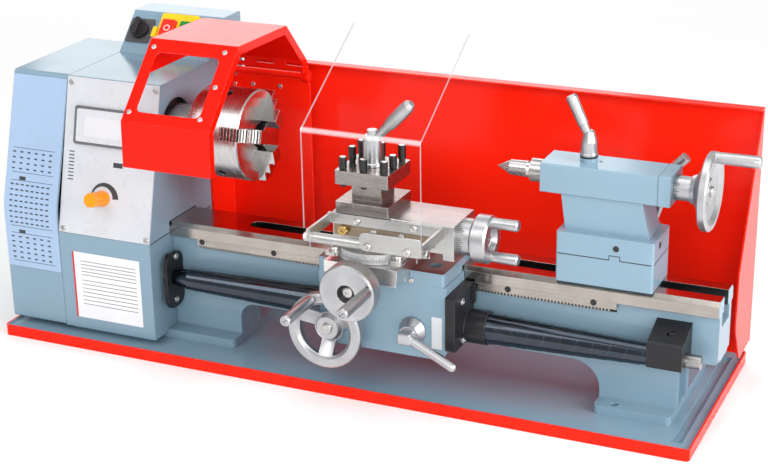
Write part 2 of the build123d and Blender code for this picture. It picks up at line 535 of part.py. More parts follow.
# Half-nut lever: cone hub, square boss and slanting bar.
lever = rod_y(LEVER_X, -136, -108, LEVER_Z, 6)
cone = [(0, 0), (0, 16), (3, 16), (12, 10), (15, 10), (15, 0)]
lever += turned(cone, along_y(LEVER_X, CAR_Y - 0.1, LEVER_Z))
lever += fillet(block(LEVER_X - 9, LEVER_X + 7, -147, -133, LEVER_Z - 9, LEVER_Z + 5).edges(), 2.5)
bar_r, bar_end = 5.4, (170, -143, 67)
lever += rod_between((LEVER_X, -140, LEVER_Z - 1), bar_end, bar_r) + Pos(*bar_end) * Sphere(bar_r)
save("half_nut_lever", lever)

# Cross slide: thick plate across the saddle and out over its front, with the screw's nut underneath.
cross_slide = block(CROSS_X0, CROSS_X1, CROSS_Y, 6, SADDLE_Z + 0.1, CROSS_Z)
cross_slide += block(CROSS_X0 + 1.5, CROSS_X1 - 1.5, CROSS_Y, 6, 158.5, 166)
cross_slide -= block(51, 87, CROSS_Y - 1, -127, 158, 171.5) + block(62, 76, -128, -62, 158, 164.3)
cross_slide += block(61.5, 76.5, -120.5, -106.5, 150.5, 165)
cross_slide -= rod_y(SCREW_X, -122, -105, SCREW_Z, SCREW_R + 0.05)
cross_slide -= rod_z(PIVOT_X, PIVOT_Y, CROSS_Z - 2.8, CROSS_Z + 1, 6.05)
save("cross_slide", cross_slide)

# Cross handwheel: solid wheel, dial and screw, with a stud for its grip.
cross_x, cross_z = SCREW_X + 26.5, SCREW_Z + 7
dial = [
    (0, 0), (0, 11), (26.2, 11), (26.2, 18), (42, 18), (42, 30.5), (44, 32.5), (61, 32.5), (63, 30.5),
    (63, 10.5), (56, 10.5), (56, 0),
]
cross_wheel = turned(dial, along_y(SCREW_X, -134.2, SCREW_Z))
cross_wheel += rod_y(SCREW_X, -136, -68.5, SCREW_Z, SCREW_R) + rod_y(cross_x, -260, -190, cross_z, 3)
save("cross_handwheel", cross_wheel)
save("cross_grip", turned(grip, along_y(cross_x, -199.5, cross_z)))

# Compound base: swivel disc with two clamping lugs, a guide tongue and the nut of the top-slide screw.
compound = rod_z(PIVOT_X, PIVOT_Y, CROSS_Z + 0.1, 190.3, PIVOT_R)
compound += rod_z(PIVOT_X, PIVOT_Y, CROSS_Z - 2.5, 180, 6)
for x in (33, 109):
    compound += fillet(block(x - 8, x + 8, -158.5, -130, 184.5, 188).edges().filter_by(Axis.Z), 4)
compound += block(29, 142.5, -138, -83, 189, 198) + block(35, 131, -122.5, -98.5, 197, 204)
compound += block(76, 92, -117.5, -103.5, 203, 216) - rod_x(75, 93, TOP_Y, TOP_Z, 4.05)
save("compound_base", compound)

# Top slide: straddles the tongue, with a deeper block for the screw bearing, and carries the toolpost stud.
top_slide = block(29, 160, -141, -80, 198.1, 230.5) + block(159, 171.5, -141, -80, 191, 230.5)
top_slide = fillet(top_slide.edges().filter_by(Axis.X).group_by(Axis.Z)[-1], 2)
top_slide -= block(28, 151, -122.6, -98.4, 198, 204.2)
top_slide -= block(58, 110, -118.5, -102.5, 202, 217)
top_slide -= rod_x(50, 151, TOP_Y, TOP_Z, 5)
top_slide -= rod_x(150, 172, TOP_Y, TOP_Z, 4.05)
top_slide += rod_z(POST_X, POST_Y, 229.5, 301, 8)
save("top_slide", top_slide)

# Top-slide handwheel: screw, dial and drum, with two straight bar handles.
drum = [
    (0, 0), (0, 20.5), (12, 20.5), (12, 12), (14, 12), (14, 24.5), (16, 26.5), (30.5, 26.5), (32.5, 24.5),
    (32.5, 15), (26, 13), (26, 0),
]
top_wheel = turned(drum, along_x(171.6, TOP_Y, TOP_Z)) + rod_x(54, 174, TOP_Y, TOP_Z, 4)
handle = [(0, 0), (0, 5.4), (2, 5.9), (29.5, 6.4), (31, 5.2), (31, 0)]
for z in (TOP_Z - 19.5, TOP_Z + 19.5):
    top_wheel += turned(handle, along_x(203, TOP_Y, z))
save("top_slide_handwheel", top_wheel)

# Four-way toolpost: two square plates on a square neck, open between them for the tools.
half = POST_W / 2
toolpost = block(POST_X - half, POST_X + half, POST_Y - half, POST_Y + half, 230.6, 243)
toolpost += block(POST_X - half, POST_X + half, POST_Y - half, POST_Y + half, 263, 278.5)
toolpost = chamfer(toolpost.edges().filter_by(Axis.Z), 1)
toolpost += block(POST_X - 17.5, POST_X + 17.5, POST_Y - 17.5, POST_Y + 17.5, 242, 264)
toolpost -= rod_z(POST_X, POST_Y, 230, 280, 8.05)
spots = [(dx, dy) for dx in (-24.3, 0, 24.3) for dy in (-24.3, 0, 24.3) if dx or dy]
for dx, dy in spots:
    toolpost -= rod_z(POST_X + dx, POST_Y + dy, 262, 280, 3.55)
save("toolpost", toolpost)

# Eight tool clamping screws in the upper plate: round heads, screwed down to two heights.
screws = []
for dx, dy in spots:
    high = dy > 0 or (dy == 0 and dx < 0)
    head_z, top_z = (281.5, 297) if high else (279.5, 292.5)
    head = rod_z(POST_X + dx, POST_Y + dy, head_z, top_z, 4.4)
    head = chamfer(head.edges().group_by(Axis.Z)[-1], 0.8)
    screws.append(head + rod_z(POST_X + dx, POST_Y + dy, 259, head_z + 1, 3.5))
save("toolpost_screws", Compound(children=screws))

# Toolpost clamp: hub nut on the stud, with a slanting arm that swells into a grip.
clamp = [
    (0, 8.05), (0, 12), (3, 12), (4, 10.5), (30, 10.5), (34, 8), (34, 5.5), (40, 5.5), (40, 0),
    (24, 0), (24, 8.05),
]
post_lever = turned(clamp, along_z(POST_X, POST_Y, 278.9))
arm = [(0, 0), (0, 5), (22, 5.6), (22, 6.8), (26, 7.2), (48, 7.6), (56, 6.8), (60, 4), (60, 0)]
post_lever += turned(arm, along((POST_X + 5, POST_Y, 310.2), (POST_X + 46, POST_Y, 352.3)))
save("toolpost_lever", post_lever)

# Shield bracket: bar along the front of the top slide, with two arms towards the operator.
ARM_X = (24, 156)
shield_bracket = block(ARM_X[0], ARM_X[1] + 3, -144, -141, 217.5, 229)
for x in ARM_X:
    shield_bracket += block(x, x + 3, -197, -141.5, 215.5, 227.5) + rod_x(x, x + 3, ROD_Y, ROD_Z, 5.7)
    shield_bracket -= rod_x(x - 1, x + 4, ROD_Y, ROD_Z, 3.05)
save("shield_bracket", shield_bracket)

# Shield rod: it turns in the two arms and clamps the shield behind a rounded plate.
shield_rod = rod_x(27.3, 155.7, ROD_Y, ROD_Z, ROD_R) + rod_x(19, 162, ROD_Y, ROD_Z, 3)
clamp_plate = [(89.5, 215.5), (89.5, 235.5), (160, 235.5), (160, 215.5)]
shield_rod += prism_y(clamp_plate, -203.3, -200.8, [7, 7, 2, 2])
for x in (99, 144):
    shield_rod += rod_y(x, -204.8, -192, 220, 2.5)
save("shield_rod", shield_rod)

# Tool shield: clear sheet, bent back over the toolpost and notched round the bracket arms.
sheet = folded([(-200.8, 208), (-200.8, 340.5), (-64.4, 422.8)], 3)
tool_shield = prism_x(sheet, 23, 158.5)
for x0, x1 in ((22, 29.5), (153.5, 160)):
    tool_shield -= block(x0, x1, -210, -190, 200, 229.5)
for x in (99, 144):
    tool_shield -= rod_y(x, -203, -195, 220, 2.55)
save("tool_shield", tool_shield)

# Tailstock base: sits on the ways, with a tongue, bolt and clamp plate between them.
tail_base = block(TAIL_X0, TAIL_X1, TAIL_Y0, TAIL_Y1, BED_Z + 0.1, 188)
tail_base = fillet(tail_base.edges().filter_by(Axis.Z), 2.5)
tail_base += block(321, 333, TAIL_Y0, TAIL_Y1, 187, 193)
tail_base += block(268, 363, -43.4, -24.6, 140, 157) + rod_z(315, -34, 126, 145, 6)
tail_base += block(285, 345, -48, -20, 126, WAY_Z - 0.4)
save("tailstock_base", tail_base)

# Tailstock body: foot, waisted neck and barrel, with a boss for the quill clamp.
tail_body = fillet(block(TAIL_X0, TAIL_X1, TAIL_Y0, TAIL_Y1, 188, 213).edges().filter_by(Axis.Z), 2.5)
tail_body -= block(321, 333, TAIL_Y0 - 1, TAIL_Y1 + 1, 187, 193)
tail_body += prism_y([(268, 212), (262, 256), (352, 256), (362, 212)], -57, -15)
barrel = block(239, 383, -60, -12, 253, 286)
tail_body += fillet(barrel.edges().filter_by(Axis.X), 1.5) + rod_z(286, SPIN_Y, 285, 292.3, 9.5)
tail_body -= rod_x(238, 372, SPIN_Y, SPIN_Z, QUILL_R + 0.05)
tail_body -= rod_x(371, 384, SPIN_Y, SPIN_Z, 6.05)
tail_body -= rod_z(286, SPIN_Y, 275, 293, 5.05)
tail_body -= rod_y(345, -20, TAIL_Y1 + 1, 201, 6.05)
save("tailstock_body", tail_body)

# Quill and dead centre.
quill = rod_x(222, 345, SPIN_Y, SPIN_Z, QUILL_R) - rod_x(269, 346, SPIN_Y, SPIN_Z, 5.3)
quill -= rod_x(221, 270, SPIN_Y, SPIN_Z, 8.03)
save("tailstock_quill", quill)
centre = [(0, 0), (16, 8.6), (36, 9.2), (40, 8), (86, 8), (86, 0)]
save("dead_centre", turned(centre, along_x(181.5, SPIN_Y, SPIN_Z)))

# Tailstock handwheel: feed screw, collar, dished wheel and its handle.
tail_rim = [
    (0, 0), (0, 13.3), (17, 13.3), (17, 15), (22, 17), (31.5, 33), (31.5, 41), (33, 42.8), (39.5, 42.8),
    (41, 41), (41, 36), (37, 30), (34, 15), (37, 14), (37, 0),
]
tail_wheel = turned(tail_rim, along_x(383.2, SPIN_Y, SPIN_Z))
tail_wheel += rod_x(370, 385, SPIN_Y, SPIN_Z, 6) + rod_x(284, 371, SPIN_Y, SPIN_Z, 5)
tail_handle = [(0, 0), (0, 6), (7, 6.3), (42, 6.8), (47, 6.5), (48, 5.4), (48, 0)]
tail_wheel += turned(tail_handle, along_x(423, SPIN_Y, SPIN_Z + 38))
save("tailstock_handwheel", tail_wheel)

# Quill clamp lever on the barrel, and the lock lever at the back of the tailstock.
quill_lever = rod_z(286, SPIN_Y, 282, 293, 5)
hub = [(0, 0), (0, 9.3), (1, 10), (3, 10), (4, 9.3), (16, 8.9), (27, 5.6), (28.5, 3.6), (28.5, 0)]
quill_lever += turned(hub, along_z(286, SPIN_Y, 292.5))
arm = [(0, 0), (0, 4.6), (9, 5.2), (10, 5.9), (41, 6.4), (43.4, 4.8), (43.4, 0)]
quill_lever += turned(arm, along((283, SPIN_Y, 318), (264, SPIN_Y, 357)))
save("quill_lever", quill_lever)
lock_lever = rod_y(345, -19.6, 16, 201, 6) + rod_y(345, TAIL_Y1 + 0.2, 17, 201, 11)
lock_lever += rod_between((345, 11, 201), (368, 11, 273), 4.5)
lock_lever += rod_between((365, 11, 270), (381, 11, 287.5), 6)
save("tailstock_lock_lever", lock_lever)

# Chuck guard: folded hood that swings back on two ears, with a left cheek and a window in its sloping front.
hood_line = [(-160, 255), (-158, 309), (-82, 387), (35, 384), (86, 329), (86, 315)]
hood_in = folded(hood_line, 10)
chuck_guard = prism_x(folded(hood_line, 2), GUARD_X0, GUARD_X1)
for x in (GUARD_X0, GUARD_X1 - 2):
    chuck_guard += prism_x(hood_in, x, x + 2)
chuck_guard += prism_x([(-119, 349), (-82, 386), (35, 383), (68, 347)], GUARD_X0, GUARD_X0 + 2)
for x0, x1 in ((-225, -217), (-121, -113)):
    ear = rod_x(x0, x1, GUARD_Y, GUARD_Z, 7) + block(x0, x1, 85, 91, 307, 320)
    chuck_guard += ear - rod_x(x0 - 1, x1 + 1, GUARD_Y, GUARD_Z, 4.05)
tilt = math.hypot(76, 78)
face = Plane(origin=(0, -158, 309), x_dir=(1, 0, 0), z_dir=(0, -78 / tilt, 76 / tilt))
opening = fillet(Box(83, 78, 12).edges().filter_by(Axis.Z), 8)
chuck_guard -= face * (Pos(-171, 53, -2) * opening)
for x in (-210, -169, -128):
    chuck_guard -= block(x - 12, x + 12, 80, 90, 321, 325)
save("chuck_guard", chuck_guard)

# Guard window: clear plate behind the opening.
pane = Pos(-170, 53, -3.05) * fillet(Box(98, 90, 2).edges().filter_by(Axis.Z), 4)
save("guard_window", face * pane)
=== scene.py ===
import math

import bpy
import numpy as np
from mathutils import Matrix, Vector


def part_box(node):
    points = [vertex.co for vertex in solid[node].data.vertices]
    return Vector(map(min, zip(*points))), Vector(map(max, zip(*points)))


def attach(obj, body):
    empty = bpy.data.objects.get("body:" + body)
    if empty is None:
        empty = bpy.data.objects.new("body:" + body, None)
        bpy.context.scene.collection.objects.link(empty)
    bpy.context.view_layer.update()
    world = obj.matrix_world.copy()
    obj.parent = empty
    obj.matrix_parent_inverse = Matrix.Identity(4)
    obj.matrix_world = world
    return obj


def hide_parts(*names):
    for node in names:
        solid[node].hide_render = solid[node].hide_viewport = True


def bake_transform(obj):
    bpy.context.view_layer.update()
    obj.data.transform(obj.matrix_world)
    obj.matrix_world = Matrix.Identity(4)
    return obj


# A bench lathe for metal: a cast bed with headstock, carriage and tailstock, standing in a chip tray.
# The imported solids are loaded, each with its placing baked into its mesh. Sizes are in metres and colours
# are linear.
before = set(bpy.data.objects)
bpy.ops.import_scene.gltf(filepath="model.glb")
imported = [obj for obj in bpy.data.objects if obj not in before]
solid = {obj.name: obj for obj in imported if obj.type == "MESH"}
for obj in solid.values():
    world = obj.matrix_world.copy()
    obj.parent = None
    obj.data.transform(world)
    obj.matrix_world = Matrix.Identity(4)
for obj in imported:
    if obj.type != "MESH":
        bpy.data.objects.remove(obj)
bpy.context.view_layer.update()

# Camera: a long lens from the front right, a little above the machine.
# It is turned by about a degree about its own line of sight.
AZIMUTH, ELEVATION, ROLL = math.radians(24.393), math.radians(20.873), math.radians(-0.954)
STAND = (0.7955, -1.6966, 0.8651)
FOCAL_PIXELS, FRAME_PIXELS, SENSOR, FAR_CLIP = 1686.74, 768, 36.0, 60.0
UP = (0, 0, 1)


def standing(right, up, back, place):
    """Pose of a camera or lamp: its axes and place are the columns of a matrix, and it faces against back."""
    return Matrix([*np.stack([right, up, back, place], 1).tolist(), [0, 0, 0, 1]])


back = np.array([
    math.sin(AZIMUTH) * math.cos(ELEVATION), -math.cos(AZIMUTH) * math.cos(ELEVATION), math.sin(ELEVATION),
])
level = np.cross(UP, back) / math.cos(ELEVATION)
upright = np.cross(back, level)
lens_right = math.cos(ROLL) * level + math.sin(ROLL) * upright
lens_up = math.cos(ROLL) * upright - math.sin(ROLL) * level
camera = bpy.data.objects.new("camera", bpy.data.cameras.new("camera"))
camera.data.sensor_width = SENSOR
camera.data.lens = FOCAL_PIXELS / FRAME_PIXELS * SENSOR
camera.data.clip_end = FAR_CLIP
camera.matrix_world = standing(lens_right, lens_up, back, STAND)
bpy.context.scene.collection.objects.link(camera)
bpy.context.scene.camera = camera
bpy.context.scene.view_settings.view_transform = "Standard"

# Studio: a pale floor under an even white room, with a soft key lamp at the front left and four fill lamps.
# The floor is matt paper that keeps the machine's shadow, and fades into the white room far away.
FLOOR_REACH, FLOOR_LINES, FLOOR_FADE = 14, 15, (0.9, 2.2)
ROOM_LIGHT, ROOM_WHITE = 0.5, 1.0
LAMPS_FACE = (0, 0, 0.2)
LAMPS = {
    "key_light": ((-1.15, -1.95, 2.1), 1.4, 18),
    "front_light": ((1.5, -4.4, 1.9), 2.8, 98),
    "right_light": ((2.6, -0.6, 1.2), 1.4, 64),
    "top_light": ((0.1, -0.1, 2.6), 1.8, 19),
    "back_light": ((-1.3, 2.6, 1.5), 1.8, 18),
}
SHARP_ANGLE = math.radians(35)


def add(tree, kind, inputs=None, **settings):
    """New shader node of a kind: inputs are sockets to link or plain values, settings are its own options."""
    made = tree.nodes.new("ShaderNode" + kind)
    for name, value in settings.items():
        setattr(made, name, value)
    for name, value in (inputs or {}).items():
        if isinstance(value, bpy.types.NodeSocket):
            tree.links.new(value, made.inputs[name])
        else:
            made.inputs[name].default_value = value
    return made


def maths(tree, operation, *values):
    """Result of one arithmetic operation on sockets or plain values."""
    return add(tree, "Math", dict(enumerate(values)), operation=operation).outputs[0]


def object_place(tree):
    """Object coordinates, in metres."""
    return add(tree, "TexCoord").outputs["Object"]


def noise(tree, place, scale, detail=2.0):
    """Even noise between 0 and 1, of a scale in grains to the metre."""
    return add(tree, "TexNoise", {"Vector": place, "Scale": scale, "Detail": detail}).outputs["Fac"]


def span(tree, value, low, high, to_low=0.0, to_high=1.0):
    """Value carried from one range to another, held at both ends."""
    inputs = {"Value": value, "From Min": low, "From Max": high, "To Min": to_low, "To Max": to_high}
    return add(tree, "MapRange", inputs).outputs["Result"]


def new_finish(name, **inputs):
    """New material with one principled shader, whose plain values are given by socket name."""
    material = bpy.data.materials.new(name)
    material.use_nodes = True
    tree = material.node_tree
    shader = tree.nodes["Principled BSDF"]
    for socket, value in inputs.items():
        shader.inputs[socket.replace("_", " ")].default_value = value
    return material, tree, shader


def feed(shader, **inputs):
    """Link sockets into a shader, by socket name."""
    for socket, value in inputs.items():
        shader.id_data.links.new(value, shader.inputs[socket.replace("_", " ")])


def grid_faces(rows, columns, around=False):
    """Quads between neighbours of a grid of points; around joins the last column to the first."""
    r = np.arange(rows - 1)[:, None]
    c = np.arange(columns if around else columns - 1)[None, :]
    d = (c + 1) % columns
    quads = [r * columns + c, r * columns + d, (r + 1) * columns + d, (r + 1) * columns + c]
    return np.stack(np.broadcast_arrays(*quads), -1).reshape(-1, 4).tolist()


def new_piece(name, points, faces, smooth=False):
    """Object at the origin whose mesh is the given points and faces, in metres."""
    mesh = bpy.data.meshes.new(name)
    mesh.from_pydata(np.asarray(points, float).reshape(-1, 3).tolist(), [], faces)
    mesh.polygons.foreach_set("use_smooth", np.full(len(mesh.polygons), smooth))
    if smooth:
        mesh.set_sharp_from_angle(angle=SHARP_ANGLE)
    mesh.update()
    piece = bpy.data.objects.new(name, mesh)
    bpy.context.scene.collection.objects.link(piece)
    return piece


floor_line = np.linspace(-FLOOR_REACH, FLOOR_REACH, FLOOR_LINES)
floor_x, floor_y = np.meshgrid(floor_line, floor_line)
floor_points = np.stack([floor_x, floor_y, np.zeros_like(floor_x)], -1)
floor = new_piece("floor", floor_points, grid_faces(FLOOR_LINES, FLOOR_LINES))
material, tree, shader = new_finish("pale_paper", Roughness=0.95, Specular_IOR_Level=0.0)
place = object_place(tree)
feed(shader, Base_Color=span(tree, noise(tree, place, 30.0), 0.0, 1.0, 0.90, 0.93))
distance = add(tree, "VectorMath", {0: place}, operation="LENGTH").outputs["Value"]
ray = add(tree, "LightPath").outputs
seen = maths(tree, "MAXIMUM", ray["Is Camera Ray"], ray["Is Glossy Ray"])
seen = maths(tree, "MAXIMUM", seen, ray["Is Transmission Ray"])
fade = maths(tree, "MULTIPLY", seen, span(tree, distance, *FLOOR_FADE))
room = add(tree, "Emission", {"Strength": ROOM_WHITE}).outputs["Emission"]
both = add(tree, "MixShader", {0: fade, 1: shader.outputs["BSDF"], 2: room}).outputs["Shader"]
feed(tree.nodes["Material Output"], Surface=both)
floor.data.materials.append(material)

world = bpy.data.worlds.new("white_room")
world.use_nodes = True
tree = world.node_tree
ray = add(tree, "LightPath").outputs
seen = maths(tree, "MAXIMUM", ray["Is Camera Ray"], ray["Is Transmission Ray"])
background = tree.nodes["Background"]
background.inputs["Color"].default_value = (1, 1, 1, 1)
feed(background, Strength=span(tree, seen, 0.0, 1.0, ROOM_LIGHT, ROOM_WHITE))
bpy.context.scene.world = world

for name, (stand, size, watts) in LAMPS.items():
    lamp = bpy.data.lights.new(name, "AREA")
    lamp.size, lamp.energy = size, watts
    away = np.array(stand) - LAMPS_FACE
    away /= np.linalg.norm(away)
    side = np.cross(UP, away)
    side /= np.linalg.norm(side)
    softbox = bpy.data.objects.new(name, lamp)
    softbox.matrix_world = standing(side, np.cross(away, side), away, stand)
    bpy.context.scene.collection.objects.link(softbox)

# Chip tray and splash guard: folded sheet steel. The tray's floor is sprayed blue-grey and its rim red,
# and the tall splash guard stands inside the rear rim. Both are glossy enamel with a fine orange peel.
RED = (0.97, 0.016, 0.004)
GREY = (0.212, 0.322, 0.404)
TRAY_INSIDE_X, TRAY_INSIDE_Y, TRAY_SHINE, RIM_SHINE = 0.4331, 0.1321, 0.5, 0.14


def mixed(tree, factor, one, two):
    """Colour between two colours."""
    return add(tree, "Mix", {0: factor, 6: one, 7: two}, data_type="RGBA").outputs[2]


def tinted(colour, level):
    """Colour made lighter or darker, with its alpha."""
    return (*[min(1.0, c * level) for c in colour], 1.0)


def worked_edges(tree, radius):
    """0 on flats and 1 on sharp edges: how far the normal turns when edges are rounded off."""
    bent = add(tree, "Bevel", {"Radius": radius}, samples=4).outputs["Normal"]
    flat = add(tree, "NewGeometry").outputs["Normal"]
    turn = add(tree, "VectorMath", {0: bent, 1: flat}, operation="DOT_PRODUCT").outputs["Value"]
    return span(tree, turn, 0.99, 0.80)


def bumped(tree, shader, height, distance, edge_radius=0.0):
    """Bump of a height in metres on the shader, over edges rounded by a radius."""
    inputs = {"Height": height, "Distance": distance}
    if edge_radius:
        inputs["Normal"] = add(tree, "Bevel", {"Radius": edge_radius}, samples=4).outputs["Normal"]
    feed(shader, Normal=add(tree, "Bump", inputs).outputs["Normal"])


def enamel_coat(tree, shader, place, colour, rough=(0.13, 0.19), edge=0.0009):
    """Sprayed paint: clouded colour that is thin on edges, and patchy gloss, over orange-peel dimples."""
    cloud = span(tree, noise(tree, place, 9.0, 4.0), 0.3, 0.7)
    base = mixed(tree, cloud, tinted(colour, 0.985), tinted(colour, 1.015))
    chips = span(tree, noise(tree, place, 160.0, 3.0), 0.42, 0.62, 0.0, 0.35)
    worn = maths(tree, "MULTIPLY", worked_edges(tree, 0.0011), chips)
    pale = tuple(0.55 * c + 0.3 for c in colour)
    bumped(tree, shader, noise(tree, place, 520.0, 1.0), 0.00001, edge)
    polish = span(tree, noise(tree, place, 22.0, 3.0), 0.3, 0.7, *rough)
    return mixed(tree, worn, base, (*pale, 1.0)), polish


def enamel(name, colour, shine=0.5, **how):
    """Finished paint of one colour and shine."""
    material, tree, shader = new_finish(name, Specular_IOR_Level=shine)
    coat, polish = enamel_coat(tree, shader, object_place(tree), colour, **how)
    feed(shader, Base_Color=coat, Roughness=polish)
    return material


def dress(material, *names):
    """Give solids of the frame a finish."""
    for name in names:
        solid[name].data.materials[0] = material


red_enamel = enamel("red_enamel", RED, 0.16)
grey_enamel = enamel("grey_enamel", GREY, 0.4)
dress(red_enamel, "splash_guard", "guard_back_panel")

material, tree, shader = new_finish("tray_enamel")
place = object_place(tree)
spot = add(tree, "VectorMath", {0: place}, operation="ABSOLUTE").outputs[0]
spot = add(tree, "SeparateXYZ", {0: spot}).outputs
rim_x = maths(tree, "GREATER_THAN", spot["X"], TRAY_INSIDE_X)
rim_y = maths(tree, "GREATER_THAN", spot["Y"], TRAY_INSIDE_Y)
rim = maths(tree, "MAXIMUM", rim_x, rim_y)
floor_coat = mixed(tree, noise(tree, place, 9.0, 4.0), tinted(GREY, 0.92), tinted(GREY, 1.04))
rim_coat, polish = enamel_coat(tree, shader, place, RED)
feed(shader, Base_Color=mixed(tree, rim, floor_coat, rim_coat), Roughness=polish)
feed(shader, Specular_IOR_Level=span(tree, rim, 0.0, 1.0, TRAY_SHINE, RIM_SHINE))
dress(material, "chip_tray")

# Bed and feed rack: a grey iron casting, painted below and ground bright along its two ways.
# The rack is a milled steel strip, held under the front way by four socket screws. A near-black strip of
# painted shade lies behind its teeth, on the face of the bed, so that the gaps show dark.
IRON = (0.47, 0.43, 0.39)
BRIGHT = (0.62, 0.60, 0.585)
WAY_LOW, BED_END_X, BED_FACE_Y = 0.1381, 0.4425, -0.060
RACK_SCREWS, RACK_HEAD = [(x, -0.06575, 0.1354) for x in (-0.184, -0.087, 0.206, 0.305)], (0.0036, 0.0009)
GAP_SHADE_SIZE, GAP_SHADE_AT = (0.520, 0.0053), (0.070, 0.12795)
ALONG_X, ALONG_Y, ALL_WAYS = (12, 900, 900), (900, 12, 900), (260, 260, 260)
EAST, FRONT = (1, 0, 0), (0, -1, 0)
PRINT_LIFT = (-0.0002, 0.0002)


def ground_coat(tree, place, colour, stretch):
    """Ground or milled metal: its colour with soft stains and bright rubbed edges, and its fine lines."""
    lay = add(tree, "Mapping", {"Vector": place, "Scale": stretch}).outputs["Vector"]
    lines = noise(tree, lay, 1.0, 3.0)
    stain = span(tree, noise(tree, place, 26.0, 4.0), 0.32, 0.68)
    base = mixed(tree, stain, tinted(colour, 0.82), tinted(colour, 1.08))
    base = mixed(tree, span(tree, lines, 0.35, 0.65, 0.0, 0.35), base, tinted(colour, 0.72))
    return mixed(tree, worked_edges(tree, 0.0008), base, tinted(colour, 1.5)), lines


def ground(name, colour, stretch, rough=(0.2, 0.34), depth=0.000012):
    """Finished metal, with its lines across the directions in which it is stretched most."""
    material, tree, shader = new_finish(name, Metallic=1.0)
    base, lines = ground_coat(tree, object_place(tree), colour, stretch)
    feed(shader, Base_Color=base, Roughness=span(tree, lines, 0.3, 0.7, *rough))
    bumped(tree, shader, lines, depth, 0.0005)
    return material


material, tree, shader = new_finish("bed_casting")
place = object_place(tree)
spot = add(tree, "SeparateXYZ", {0: place}).outputs
high = maths(tree, "GREATER_THAN", spot["Z"], WAY_LOW)
inner = maths(tree, "LESS_THAN", spot["X"], BED_END_X)
way = maths(tree, "MULTIPLY", high, inner)
steel, _ = ground_coat(tree, place, IRON, ALONG_X)
coat, polish = enamel_coat(tree, shader, place, GREY)
feed(shader, Base_Color=mixed(tree, way, coat, steel), Roughness=polish, Metallic=way)
dress(material, "bed")
dress(ground("milled_strip", IRON, ALONG_X), "feed_rack")
plated_steel = ground("plated_steel", BRIGHT, ALL_WAYS, (0.22, 0.36))
black_oxide_and_shade = ground("black_oxide_and_shade", (0.06, 0.058, 0.06), ALL_WAYS, (0.3, 0.45))


def outward(points, faces):
    """The same closed shell, turned so that its faces point out: its volume comes out positive."""
    points = np.asarray(points, float)
    volume = 0.0
    for face in faces:
        corners = points[face]
        volume += np.sum(np.cross(corners[1:-1], corners[2:]) @ corners[0])
    return points, (faces if volume > 0 else [face[::-1] for face in faces])


def joined(shells):
    """One list of points and faces from several shells."""
    points, faces, count = [], [], 0
    for shell_points, shell_faces in shells:
        points.append(shell_points)
        faces += [[corner + count for corner in face] for face in shell_faces]
        count += len(shell_points)
    return np.concatenate(points), faces


def square_axes(axis):
    """Two unit directions square to an axis and to each other."""
    axis = np.asarray(axis, float) / np.linalg.norm(axis)
    first = np.cross(UP if abs(axis[2]) < 0.9 else EAST, axis)
    first /= np.linalg.norm(first)
    return axis, first, np.cross(axis, first)


def turned(rows, place, axis, steps=32):
    """Shell turned about an axis from (along, radius) rows; a third value makes a row a hexagon or a star."""
    axis, first, second = square_axes(axis)
    angle = np.arange(steps) * 2 * math.pi / steps
    hexagon = math.cos(math.pi / 6) / np.cos(angle % (math.pi / 3) - math.pi / 6)
    star = 0.3 + 0.7 * np.abs(np.cos(2 * angle)) ** 5
    outlines = {"round": np.ones(steps), "hex": hexagon, "star": star}
    rows = [(*row, "round")[:3] for row in rows]
    along = np.array([row[0] for row in rows])[:, None, None]
    radius = np.stack([row[1] * outlines[row[2]] for row in rows])[:, :, None]
    spoke = np.cos(angle)[:, None] * first + np.sin(angle)[:, None] * second
    points = (np.asarray(place, float) + along * axis + radius * spoke).reshape(-1, 3)
    last = (len(rows) - 1) * steps
    caps = [list(range(steps))[::-1], list(range(last, last + steps))]
    return outward(points, grid_faces(len(rows), steps, True) + caps)


def fitted(name, shell, finish, body, smooth=False):
    """New piece from a shell's points and faces, with its finish and the body that it rides on."""
    piece = new_piece(name, *shell, smooth)
    piece.data.materials.append(finish)
    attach(piece, body)
    return piece


def screw_head(place, axis, head, drive):
    """Low cap head of a (radius, height), with its driving recess, seated on a face."""
    radius, height = head
    depth = 0.55 * height
    rim = [(-0.0004, radius), (depth, radius), (0.85 * height, 0.9 * radius), (height, 0.68 * radius)]
    recess = [(height, 0.5 * radius, drive), (height - depth, 0.46 * radius, drive)]
    return turned(rim + recess, place, axis)


def screws(name, body, places, axis, head, drive="hex", finish=plated_steel, slot="bright_steel"):
    """One piece of like screws, riding on a body."""
    heads = [screw_head(place, axis, head, drive) for place in places]
    return fitted(name, joined(heads), finish, body)


def flat_plate(outline, origin, right, up, low, high):
    """Plate with an outline of (right, up) points on a plane, between two heights off the plane."""
    outline = np.asarray(outline, float)
    right, up = np.asarray(right, float), np.asarray(up, float)
    out = np.cross(right, up)
    base = np.asarray(origin, float) + outline[:, :1] * right + outline[:, 1:] * up
    points = np.concatenate([base + low * out, base + high * out])
    count = len(outline)
    faces = grid_faces(2, count, True) + [list(range(count))[::-1], list(range(count, 2 * count))]
    return outward(points, faces)


def front_plate(outline, y, low, high):
    """Plate with an outline of (x, z) points, on a face that looks to the front."""
    return flat_plate(outline, (0, y, 0), EAST, UP, low, high)


def rounded(width, height, radius, centre=(0, 0), steps=6):
    """Rectangle outline with round corners."""
    turn = np.linspace(0, math.pi / 2, steps)
    arc = radius * np.stack([np.cos(turn), np.sin(turn)], 1)
    w, h = width / 2 - radius, height / 2 - radius
    corners = []
    for quarter, (cx, cy) in enumerate(((w, h), (-w, h), (-w, -h), (w, -h))):
        a = quarter * math.pi / 2
        spin = np.array([[math.cos(a), math.sin(a)], [-math.sin(a), math.cos(a)]])
        corners.append(arc @ spin + (cx, cy))
    return np.concatenate(corners) + centre


